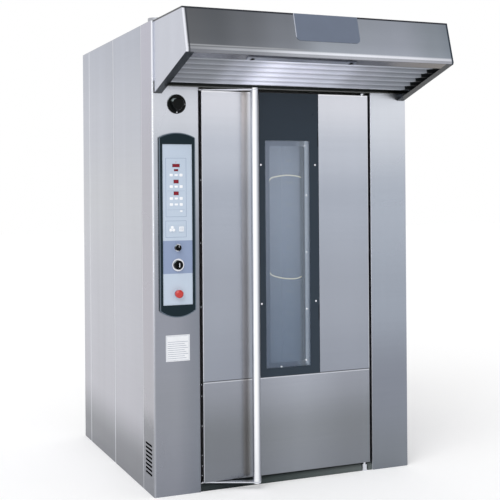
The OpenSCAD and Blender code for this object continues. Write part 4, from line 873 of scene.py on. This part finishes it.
def place_on_points(tree, points, shape, rotation=None, scale=None, material=None):
    """The nodes that put a shape on points, make it real and give it its material."""
    inputs = {"Points": points, "Instance": shape}
    if rotation:
        inputs["Rotation"] = rotation
    if scale:
        inputs["Scale"] = scale
    placed = add_node(tree, "GeometryNodeInstanceOnPoints", inputs).outputs[0]
    real = add_node(tree, "GeometryNodeRealizeInstances", {"Geometry": placed}).outputs[0]
    return add_node(tree, "GeometryNodeSetMaterial", {"Geometry": real, "Material": material}).outputs[0]


# %% [markdown]
# ## Screws
# A sheet steel cabinet is held by dozens of pan head screws. A head is a low cone whose
# top is drawn in and pushed down to make the socket for the tool. The points carry the
# direction that each screw faces.

# %% The screw tree
TOP_SHARE, SOCKET_SHARE, SOCKET_DEPTH = 0.72, 0.55, -0.6
screw_tree, screw_in, screw_out = new_tree(
    "screw_heads", [("Radius", FLOAT, 0.004), ("Height", FLOAT, 0.002), ("Material", MATERIAL, None)])
cone = add_node(screw_tree, "GeometryNodeMeshCone",
                {"Vertices": 14, "Radius Bottom": screw_in["Radius"],
                 "Radius Top": times(screw_in["Radius"], TOP_SHARE),
                 "Depth": screw_in["Height"]})
inner = add_node(screw_tree, "GeometryNodeExtrudeMesh",
                 {"Mesh": cone.outputs["Mesh"], "Selection": cone.outputs["Top"], "Offset Scale": 0.0})
drawn_in = add_node(screw_tree, "GeometryNodeScaleElements",
                    {"Geometry": inner.outputs["Mesh"], "Selection": inner.outputs["Top"],
                     "Scale": SOCKET_SHARE})
socket = add_node(screw_tree, "GeometryNodeExtrudeMesh",
                  {"Mesh": drawn_in.outputs[0], "Selection": inner.outputs["Top"],
                   "Offset Scale": times(screw_in["Height"], SOCKET_DEPTH)})
way_out = add_node(screw_tree, "GeometryNodeInputNamedAttribute", {"Name": "out"}, data_type="FLOAT_VECTOR")
turned = add_node(screw_tree, "FunctionNodeAlignRotationToVector", {"Vector": way_out.outputs[0]}, axis="Z")
plug(screw_out["Geometry"],
     place_on_points(screw_tree, screw_in["Geometry"], socket.outputs["Mesh"], turned.outputs[0],
                     material=screw_in["Material"]))


def screws(name, places, out, radius, height, material, body):
    """A set of screws that all face one way, on points in metres."""
    run_tree(name, screw_tree, places, {"Radius": radius, "Height": height, "Material": material}, body,
             {"out": [out] * len(places)})


# %% The four sets of screws
DOOR_EDGE_SCREWS = (1556.5, 1240.7, 919.2, 528.9, 473.5, 322.4, 176.1, 123.2, 75.2)
BEAD_SCREWS = ((122, 1476), (120, 1180), (120, 882), (115, 615), (-28.6, 590), (113, 1734.5))
bead_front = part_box("window_bead")[0].y
rear_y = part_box("rear_panel")[1].y
roof_low, roof_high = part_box("roof_panel")
roof_span = roof_high.x - roof_low.x - 2 * 0.03

door_edge_places = [(left_skin_low.x, FRONT_Y + 0.025, z * MM) for z in DOOR_EDGE_SCREWS]
bead_places = [(x * MM, bead_front, z * MM) for x, z in BEAD_SCREWS]
rear_places = [(x, rear_y, 0.12 + 0.30 * row)
               for x in (post_low.x + 0.085, 0, post_high.x - 0.085) for row in range(8)]
roof_places = [(roof_low.x + 0.03 + roof_span * i / 5, y, roof_high.z)
               for i in range(6) for y in (roof_low.y + 0.25, roof_high.y - 0.03)]
screws("door_edge_screws", door_edge_places, (-1, 0, 0), 0.0045, 0.0022, chrome, "door")
screws("bead_screws", bead_places, (0, -1, 0), 0.0062, 0.0018, bright_screw, "door")
screws("rear_screws", rear_places, (0, 1, 0), 0.006, 0.0022, chrome, "cabinet")
screws("roof_screws", roof_places, (0, 0, 1), 0.006, 0.0022, chrome, "cabinet")

# %% [markdown]
# ## Membrane keys
# The keys of the foil are pads pushed up from below: soft blocks with round corners. A
# cube with creased edges, smoothed by subdivision, gives that shape. Each point carries
# its own key's size, so one tree makes both the small keys and the little bars.

# %% The key pads
PAD_DEPTH = 0.0024
pad_tree, pad_in, pad_out = new_tree("key_pads", [("Material", MATERIAL, None)])
pad_cube = add_node(pad_tree, "GeometryNodeMeshCube", {"Size": (1, 1, 1)}).outputs[0]
soft_pad = add_node(pad_tree, "GeometryNodeSubdivisionSurface",
                    {"Mesh": pad_cube, "Level": 2, "Edge Crease": 0.75}).outputs[0]
pad_size = add_node(pad_tree, "GeometryNodeInputNamedAttribute", {"Name": "size"}, data_type="FLOAT_VECTOR")
plug(pad_out["Geometry"],
     place_on_points(pad_tree, pad_in["Geometry"], soft_pad, scale=pad_size.outputs[0],
                     material=pad_in["Material"]))

FOIL_FRONT = foil_low.y
KEY_COLUMNS = (-626, -600.5, -575)
KEY_ROWS = (1581, 1524, 1465.5, 1436)
KEY_SHAPES = ((17, 13), (17, 10), (16, 14))
key_places, key_sizes = [], []
for row_height in KEY_ROWS:
    for column, (wide, tall) in zip(KEY_COLUMNS, KEY_SHAPES):
        key_places.append((column * MM, FOIL_FRONT, row_height * MM))
        key_sizes.append((wide * MM, PAD_DEPTH, tall * MM))
key_places.append((-575 * MM, FOIL_FRONT, 1403 * MM))
key_sizes.append((13 * MM, PAD_DEPTH, 8 * MM))
run_tree("membrane_keys", pad_tree, key_places, {"Material": key_white}, "cabinet",
         {"size": key_sizes})

# %% [markdown]
# ## The prints on the foil, the digits and the data plate
# Two thin boxes frame the keys, and a small lamp sits above them. The displays are dark
# red, with digits of seven bars a little brighter. The data plate has a thin border and
# ruled rows.

# %% Lines, digits and rows
PRINT_DEPTH = 0.0003


def add_print(work, x0, x1, z0, z1, y, depth=PRINT_DEPTH):
    """A thin block between x and z values in millimetres, lying on a face at y."""
    add_box(work, (x0 * MM, y - depth, z0 * MM), (x1 * MM, y, z1 * MM))


def add_frame_line(work, low_x, high_x, low_z, high_z, y, width=1.5):
    """A thin rectangular line around an area, in millimetres, lying on a face at y."""
    for x0, x1, z0, z1 in ((low_x, high_x, low_z, low_z + width), (low_x, high_x, high_z - width, high_z),
                           (low_x, low_x + width, low_z + width, high_z - width),
                           (high_x - width, high_x, low_z + width, high_z - width)):
        add_print(work, x0, x1, z0, z1, y)


def build_foil_lines(work):
    add_frame_line(work, -655, -548, 1375, 1665, FOIL_FRONT)
    add_frame_line(work, -657, -549, 1274, 1356, FOIL_FRONT)
    for height in (1503, 1410):
        add_print(work, -646, -556, height - 0.4, height + 0.4, FOIL_FRONT)


def add_digit(work, x, z, width, height, y):
    """The seven bars of one digit, centred on x and z, in millimetres."""
    bar = height * 0.11
    half = width / 2 - bar / 2
    for level in (-height / 2 + bar / 2, 0, height / 2 - bar / 2):
        add_print(work, x - half + bar / 2, x + half - bar / 2, z + level - bar / 2, z + level + bar / 2, y)
    for side in (-half, half):
        for start, end in ((-height / 2 + bar, -bar / 2), (bar / 2, height / 2 - bar)):
            add_print(work, x + side - bar / 2, x + side + bar / 2, z + start, z + end, y)


# Each row holds the height, the count, the pitch, and a digit's height and width.
DISPLAY_ROWS = ((1628, 3, 11, 12, 7.5), (1605, 2, 9, 7, 4.8), (1549, 2, 11, 13, 8), (1491, 2, 11, 13, 8))
DISPLAY_MIDDLE = -601
display_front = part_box("display_windows")[0].y


def build_digits(work):
    for height, count, pitch, tall, wide in DISPLAY_ROWS:
        for place in range(count):
            middle = DISPLAY_MIDDLE + (place - (count - 1) / 2) * pitch
            add_digit(work, middle, height, wide, tall, display_front)


plate_low, plate_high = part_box("data_plate")
PLATE_FRONT = plate_low.y
PLATE_MARGIN = 4


def build_plate_print(work):
    left, right_end = plate_low.x / MM + PLATE_MARGIN, plate_high.x / MM - PLATE_MARGIN
    bottom, top = plate_low.z / MM + PLATE_MARGIN, plate_high.z / MM - PLATE_MARGIN
    add_frame_line(work, left, right_end, bottom, top, PLATE_FRONT, 0.8)
    for row in range(1, 10):
        height = bottom + (top - bottom) * row / 12
        add_print(work, left + 5, right_end - 5 - 9 * (row % 3), height, height + 1.6, PLATE_FRONT, 0.0002)


def build_lamp_dot(work):
    add_lathe(work, (-0.6016, FOIL_FRONT, 1.645), ((0.0018, 0), (0.0018, -0.0008), (0.0010, -0.0014)), 16)


build_piece("foil_lines", build_foil_lines, print_blue, "cabinet")
build_piece("display_digits", build_digits, segment_red, "cabinet")
build_piece("plate_rows", build_plate_print, print_grey, "cabinet")
build_piece("foil_lamp", build_lamp_dot, stop_red, "cabinet")

# %% [markdown]
# ## The control frame's rim and the push keys' signs
# The plastic frame ends in a rounded lip, coloured lighter than the frame as a painted
# highlight. Its arched ends are arcs through three points. The two larger keys carry plain
# signs: a three-petalled one and a small grid.

# %% Rim and signs
frame_low, frame_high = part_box("control_frame")
FRAME_LEFT, FRAME_RIGHT = frame_low.x / MM, frame_high.x / MM
SHOULDER_TOP, SHOULDER_LOW = 1765, 914
RIM_INSET = 1.6


def arch(start_x, end_x, shoulder, rise_height, steps=24):
    """Points of a circular arch from one shoulder to the other. The rise may be negative."""
    half_span = abs(end_x - start_x) / 2
    radius = (half_span ** 2 + rise_height ** 2) / (2 * abs(rise_height))
    side = 1 if rise_height > 0 else -1
    middle = (start_x + end_x) / 2
    centre_z = shoulder + rise_height - side * radius
    points = []
    for step in range(steps + 1):
        x = start_x + (end_x - start_x) * step / steps
        points.append((x, centre_z + side * math.sqrt(radius ** 2 - (x - middle) ** 2)))
    return points


def build_rim(work):
    left, right_end = FRAME_LEFT + RIM_INSET, FRAME_RIGHT - RIM_INSET
    top = arch(left, right_end, SHOULDER_TOP, frame_high.z / MM - SHOULDER_TOP - RIM_INSET)
    low = arch(right_end, left, SHOULDER_LOW, frame_low.z / MM - SHOULDER_LOW + RIM_INSET)
    add_tube(work, [(x * MM, frame_low.y + 0.0010, z * MM) for x, z in top + low], 0.0026, closed=True)


PETALS, PETAL_REACH, PETAL_RADIUS = 3, 0.0088, 0.0074
SQUARE_HALF = 0.0115
GRID_LINES, GRID_HALF, GRID_PITCH, GRID_LINE_HALF = 4, 0.008, 0.005, 0.0003


def build_petals(work):
    x, y, z = front_middle("push_key_left")
    for number in range(PETALS):
        turn = math.pi / 2 + number * 2 * math.pi / PETALS
        place = (x + PETAL_REACH * math.cos(turn), y, z + PETAL_REACH * math.sin(turn))
        profile = ((PETAL_RADIUS, 0.0002), (PETAL_RADIUS, -0.0004), (PETAL_RADIUS - 0.0014, -0.0009))
        add_lathe(work, place, profile, 20)


# The grid lies on the square: four upright and four level lines.
sign_x, sign_y, sign_z = front_middle("push_key_right")
square = [((sign_x - SQUARE_HALF, sign_y - 0.0003, sign_z - SQUARE_HALF),
           (sign_x + SQUARE_HALF, sign_y + 0.0002, sign_z + SQUARE_HALF))]
grid = []
for step in range(GRID_LINES):
    offset = (step - (GRID_LINES - 1) / 2) * GRID_PITCH
    for x, x_half, z, z_half in ((sign_x + offset, GRID_LINE_HALF, sign_z, GRID_HALF),
                                 (sign_x, GRID_HALF, sign_z + offset, GRID_LINE_HALF)):
        grid.append(((x - x_half, sign_y - 0.0005, z - z_half), (x + x_half, sign_y + 0.0002, z + z_half)))

build_piece("control_rim", build_rim, rim_highlight_plastic, "cabinet")
build_piece("petal_sign", build_petals, key_white, "left_push_key")
build_boxes("square_sign", square, key_white, "right_push_key", 0.0002)
build_boxes("grid_sign", grid, print_blue, "right_push_key")

# %% [markdown]
# ## The hems of the filter slats, and the light's clips
# Each filter slat ends in a rolled hem that shows as a bright line. The hems repeat by a
# rule, so one tree sweeps a small circle along a line and puts it on a point per slat.

# %% Slat hems
hem_tree, hem_in, hem_out = new_tree(
    "slat_hems", [("Length", FLOAT, 1.3), ("Radius", FLOAT, 0.0015), ("Material", MATERIAL, None)])
half_length = times(hem_in["Length"], 0.5)
hem_line = add_node(hem_tree, "GeometryNodeCurvePrimitiveLine",
                    {"Start": combine(times(half_length, -1.0)), "End": combine(half_length)}).outputs[0]
hem_section = add_node(hem_tree, "GeometryNodeCurvePrimitiveCircle",
                       {"Resolution": 10, "Radius": hem_in["Radius"]}).outputs[0]
hem_rod = add_node(hem_tree, "GeometryNodeCurveToMesh",
                   {"Curve": hem_line, "Profile Curve": hem_section, "Fill Caps": True}).outputs[0]
plug(hem_out["Geometry"], place_on_points(hem_tree, hem_in["Geometry"], hem_rod, material=hem_in["Material"]))

filter_low, filter_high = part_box("hood_filter")
HOOD_SLOPE = 0.3039
SLAT_COUNT, SLAT_PITCH = 6, 53
FIRST_SLAT, SLAT_BASE = -137, 1988


def slat_foot(number):
    """Where a slat's front edge meets its foot, from the front face, in millimetres."""
    slat_y = FIRST_SLAT - SLAT_PITCH * number
    return slat_y, SLAT_BASE - slat_y * HOOD_SLOPE


hem_middle = (filter_low.x + filter_high.x) / 2
hem_places = [(hem_middle, FRONT_Y + (slat_foot(i)[0] + 2.5) * MM, (slat_foot(i)[1] + 0.8) * MM)
              for i in range(SLAT_COUNT)]
run_tree("slat_hems", hem_tree, hem_places,
         {"Length": filter_high.x - filter_low.x - 0.004, "Radius": 0.0017, "Material": slat_steel},
         "cabinet")

# %% Light clips
lamp_low, lamp_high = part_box("hood_lamp")
light_clips = [((start, lamp_low.y - 0.0008, lamp_low.z - 0.001), (end, lamp_high.y, lamp_low.z + 0.004))
               for start, end in ((-0.378, -0.366), (0.140, 0.152))]
build_boxes("lamp_clips", light_clips, black_plastic, "cabinet", 0.0004)

# %% [markdown]
# ## Behind the vent slots
# The slots in the left column's side look black: a black plate right behind the sheet
# paints the shade inside the column.

# %% Painted shade behind the vent slots
shadow_block = [((column_low.x + 0.0028, FRONT_Y + 0.030, 0.085), (column_low.x + 0.0058, FRONT_Y + 0.148, 0.268))]
build_boxes("vent_shadow_plate", shadow_block, vent_shadow_black, "cabinet", 0.001)

# %% [markdown]
# ## The damper knob
# The knob is a flat skirt with a hub of three broad lobes, so a hand in a glove can turn
# it. The lobes follow a rule: the hub's radius swells and shrinks three times a turn,
# and the swelling fades towards the rounded top. A tree with named inputs builds it
# from a plain cylinder.

# %% The knob
knob_low, knob_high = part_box("damper_knob")
knob_x, _, knob_z = front_middle("damper_knob")
KNOB_RADIUS = (knob_high.x - knob_low.x) / 2
KNOB_DEPTH = knob_high.y - knob_low.y
SKIRT_DEPTH, SKIRT_RIM = 0.0050, 0.0012
SKIRT_FRONT = knob_high.y - SKIRT_DEPTH
HUB_SHARE, HUB_ROUNDING, HUB_DRAW = 0.66, 4.0, 0.16
LOBES, LOBE_DEPTH = 3.0, 0.10

hub_tree, hub_in, hub_out = new_tree("lobed_hub", [
    ("Radius", FLOAT, 0.03), ("Height", FLOAT, 0.012), ("Lobes", FLOAT, LOBES), ("Depth", FLOAT, 0.12),
    ("Turn", FLOAT, 0.5), ("Material", MATERIAL, None)])
blank = add_node(hub_tree, "GeometryNodeMeshCylinder",
                 {"Vertices": 96, "Side Segments": 10, "Fill Segments": 6, "Radius": hub_in["Radius"],
                  "Depth": hub_in["Height"]}, fill_type="TRIANGLE_FAN").outputs[0]
hub_place = split(add_node(hub_tree, "GeometryNodeInputPosition").outputs[0])
angle_round = calculate("ARCTAN2", hub_place["Y"], hub_place["X"])
from_turn = calculate("SUBTRACT", angle_round, hub_in["Turn"])
wave = calculate("COSINE", times(from_turn, hub_in["Lobes"]))
above_foot = plus(hub_place["Z"], times(hub_in["Height"], 0.5))
level = calculate("DIVIDE", above_foot, hub_in["Height"])
drawn = calculate("SUBTRACT", 1.0, times(calculate("POWER", level, HUB_ROUNDING), HUB_DRAW))
reach = times(plus(1.0, times(wave, hub_in["Depth"])), drawn)
new_place = combine(times(hub_place["X"], reach), times(hub_place["Y"], reach), hub_place["Z"])
shaped = add_node(hub_tree, "GeometryNodeSetPosition", {"Geometry": blank, "Position": new_place}).outputs[0]
to_room = add_node(hub_tree, "FunctionNodeAlignRotationToVector", {"Vector": (0, -1, 0)}, axis="Z").outputs[0]
plug(hub_out["Geometry"],
     place_on_points(hub_tree, hub_in["Geometry"], shaped, to_room, material=hub_in["Material"]))
HUB_HEIGHT = KNOB_DEPTH - SKIRT_DEPTH
run_tree("knob_hub", hub_tree, [(knob_x, SKIRT_FRONT - HUB_HEIGHT / 2, knob_z)],
         {"Radius": KNOB_RADIUS * HUB_SHARE, "Height": HUB_HEIGHT, "Lobes": LOBES, "Depth": LOBE_DEPTH,
          "Turn": 0.5, "Material": black_plastic}, "damper")


def build_skirt(work):
    add_lathe(work, (knob_x, knob_high.y, knob_z),
              ((KNOB_RADIUS - SKIRT_RIM, 0), (KNOB_RADIUS, -SKIRT_RIM),
               (KNOB_RADIUS, -SKIRT_DEPTH + SKIRT_RIM), (KNOB_RADIUS - SKIRT_RIM, -SKIRT_DEPTH),
               (KNOB_RADIUS * 0.7, -SKIRT_DEPTH - 0.0003)), 96)


def build_knob_marks(work):
    add_lathe(work, (knob_x, SKIRT_FRONT, knob_z - KNOB_RADIUS * 0.86),
              ((0.0032, 0), (0.0032, -0.0006), (0.0024, -0.0009)), 20)
    add_box(work, (knob_x + KNOB_RADIUS * 0.80, SKIRT_FRONT - 0.0007, knob_z - 0.0010),
            (knob_x + KNOB_RADIUS * 0.95, SKIRT_FRONT + 0.0004, knob_z + 0.0010), 0.0003)


build_piece("knob_skirt", build_skirt, black_plastic, "damper", ("damper_knob",))
build_piece("knob_marks", build_knob_marks, label_white, "damper")

# %% [markdown]
# ## The two rotary switches
# The small knob has a ribbed skirt and a pointer. The key selector turns a short pale
# lever inside its chrome ring.

# %% Switch details
x, y, z = front_middle("timer_knob")
pointer = [((x - 0.0008, y - 0.0004, z + 0.002), (x + 0.0008, y + 0.001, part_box("timer_knob")[1].z - 0.001))]
build_boxes("timer_pointer", pointer, label_white, "timer", 0.0002)
x, y, z = front_middle("key_selector")
lever = [((x - 0.0028, y - 0.0002, z - 0.011), (x + 0.0028, y + 0.004, z + 0.011))]
build_boxes("selector_lever", lever, chrome, "selector", 0.0012)

# %% [markdown]
# ## The window
# A screwed clip strip on the window frame's right side leaves two dark slots. Between
# the panes, two warm arcs are painted reflections of lamps, drawn as thin glowing tubes.

# %% Window details
CLIP_SLOTS = [((0.1840, FRONT_Y - 0.0004, low_z), (0.1882, FRONT_Y + 0.0004, high_z))
              for low_z, high_z in ((1.727, 1.800), (0.821, 0.899))]
# Painted reflections: two warm glowing arcs between the panes.
UPPER_ARC = ((-84, 1532), (-67.7, 1563), (-32, 1573.5), (25, 1580), (76, 1576), (104, 1569))
LOWER_ARC = ((-84, 1090), (-64.6, 1063), (-7.8, 1045.5), (49.7, 1039), (82, 1041), (104, 1049))
ARC_DEPTH = 0.040


def smooth_row(points, steps=6):
    """More points on a smooth line through the given ones. Each is a mix of its four neighbours."""
    row = []
    padded = [points[0]] + list(points) + [points[-1]]
    for first, second, third, fourth in zip(padded, padded[1:], padded[2:], padded[3:]):
        for step in range(steps):
            t = step / steps
            weights = (-t + 2 * t ** 2 - t ** 3, 2 - 5 * t ** 2 + 3 * t ** 3,
                       t + 4 * t ** 2 - 3 * t ** 3, -t ** 2 + t ** 3)
            pairs = list(zip(weights, (first, second, third, fourth)))
            row.append(tuple(sum(weight * point[i] for weight, point in pairs) / 2 for i in range(2)))
    return row + [points[-1]]


def build_reflection_arcs(work):
    for arc_row in (UPPER_ARC, LOWER_ARC):
        add_tube(work, [(x * MM, FRONT_Y + ARC_DEPTH, z * MM) for x, z in smooth_row(arc_row)], 0.0027)


build_boxes("clip_slots", CLIP_SLOTS, black_plastic, "door")
build_piece("reflection_arcs", build_reflection_arcs, arc_reflection_glow, "door")

# %% [markdown]
# ## The handle's sleeves
# The bar handle is a thin tube that widens a little into a sleeve at each end, where it
# takes the arms, and closes in a domed cap.

# %% Sleeves and caps
tube_low, tube_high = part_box("handle_tube")
tube_x, tube_y = (tube_low.x + tube_high.x) / 2, (tube_low.y + tube_high.y) / 2
TUBE_RADIUS = (tube_high.x - tube_low.x) / 2
arms_low, arms_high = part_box("handle_arms")
SLEEVE_WIDENING, SLEEVE_LENGTH, SLEEVE_INSET = 0.0010, 0.050, 0.0062


def build_sleeves(work):
    wide = TUBE_RADIUS + SLEEVE_WIDENING
    for end, inward in ((arms_high.z - SLEEVE_INSET, -1), (arms_low.z + SLEEVE_INSET, 1)):
        profile = [(TUBE_RADIUS + 0.0001, end + inward * SLEEVE_LENGTH),
                   (wide, end + inward * SLEEVE_LENGTH * 0.4), (wide, end)]
        add_lathe(work, (tube_x, tube_y, 0), profile, upright=True)


def build_caps(work):
    for end, face in ((tube_high.z, 1), (tube_low.z, -1)):
        profile = [(TUBE_RADIUS * 0.98, -0.004 * face), (TUBE_RADIUS * 0.98, -0.0004 * face),
                   (TUBE_RADIUS * 0.80, 0.0006 * face), (TUBE_RADIUS * 0.2, 0.0008 * face)]
        add_lathe(work, (tube_x, tube_y, end - 0.0005 * face), profile, upright=True)


build_piece("handle_sleeves", build_sleeves, handle_steel, "door_handle")
build_piece("handle_caps", build_caps, chrome, "door_handle")

# %% [markdown]
# ## The studio
# The room is a plain pale floor under an even white sky. The sky that the camera,
# mirrors and glass see is pure white, and the sky that lights dull surfaces is a little
# weaker, which leaves room for one soft sun and a tall strip light. The sun gives the
# floor its shadow. The strip stands to the left of the camera and draws the bright line
# down the handle.

# %% World, sun, strip and floor
SKY_FOR_LIGHT = 0.70
SUN_STRENGTH, SUN_DIRECTION, SUN_WIDTH = 1.20, (0.55, 0.60, -0.75), math.radians(50)
STRIP_POWER, STRIP_PLACE = 16.0, Vector((-3.43, -4.59, 1.5))
FLOOR_HALF, FLOOR_GLOW = 30.0, 0.12
FLOOR_TONES = (0.945, 0.945, 0.95, 1), (0.96, 0.96, 0.96, 1)

world = bpy.data.worlds.new("white_studio")
bpy.context.scene.world = world
world.use_nodes = True
sky = world.node_tree
sky.nodes.clear()


def seen_rays(tree):
    """1 for rays that the camera, a mirror or glass sends out, and 0 for the rest."""
    ray = add_node(tree, "ShaderNodeLightPath")
    mirrored = calculate("MAXIMUM", ray.outputs["Is Glossy Ray"], ray.outputs["Is Transmission Ray"])
    return calculate("MAXIMUM", ray.outputs["Is Camera Ray"], mirrored)


lighting_sky = add_node(sky, "ShaderNodeBackground", {"Color": (1, 1, 1, 1), "Strength": SKY_FOR_LIGHT})
seen_sky = add_node(sky, "ShaderNodeBackground", {"Color": (1, 1, 1, 1), "Strength": 1.0})
either = add_node(sky, "ShaderNodeMixShader",
                  {0: seen_rays(sky), 1: lighting_sky.outputs[0], 2: seen_sky.outputs[0]})
add_node(sky, "ShaderNodeOutputWorld", {"Surface": either.outputs[0]})


def place_light(name, kind, energy, direction, place=(0, 0, 0), **settings):
    """A lamp that shines along a direction, from a place."""
    light = bpy.data.lights.new(name, kind)
    light.energy = energy
    for setting, value in settings.items():
        setattr(light, setting, value)
    holder = bpy.data.objects.new(name, light)
    turn = (-Vector(direction)).to_track_quat("Z", "Y").to_matrix().to_4x4()
    holder.matrix_world = Matrix.Translation(place) @ turn
    bpy.context.scene.collection.objects.link(holder)
    print("light:", name)


place_light("soft_sun", "SUN", SUN_STRENGTH, SUN_DIRECTION, angle=SUN_WIDTH)
handle_middle = Vector((tube_x, tube_y, STRIP_PLACE.z))
place_light("strip", "AREA", STRIP_POWER, handle_middle - STRIP_PLACE, STRIP_PLACE,
            shape="RECTANGLE", size=0.5, size_y=3.2)

floor_mesh = bpy.data.meshes.new("floor")
floor_mesh.from_pydata([(x * FLOOR_HALF, y * FLOOR_HALF, 0) for x, y in ((-1, -1), (1, -1), (1, 1), (-1, 1))],
                       [], [(0, 1, 2, 3)])
floor = bpy.data.objects.new("floor", floor_mesh)
bpy.context.scene.collection.objects.link(floor)
floor_paint, floor_tree, floor_shader = new_material("floor_paint", Roughness=0.9, Specular_IOR_Level=0.0,
                                                     Emission_Color=(1, 1, 1, 1))
floor_mottle = noise(object_place(floor_tree), 1.5)
plug(floor_shader.inputs["Base Color"], blend_colours(floor_mottle, *FLOOR_TONES))
plug(floor_shader.inputs["Emission Strength"], times(seen_rays(floor_tree), FLOOR_GLOW))
floor_mesh.materials.append(floor_paint)

# %% [markdown]
# ## Finish

# %% Finish
bpy.context.scene.view_settings.view_transform = "Standard"
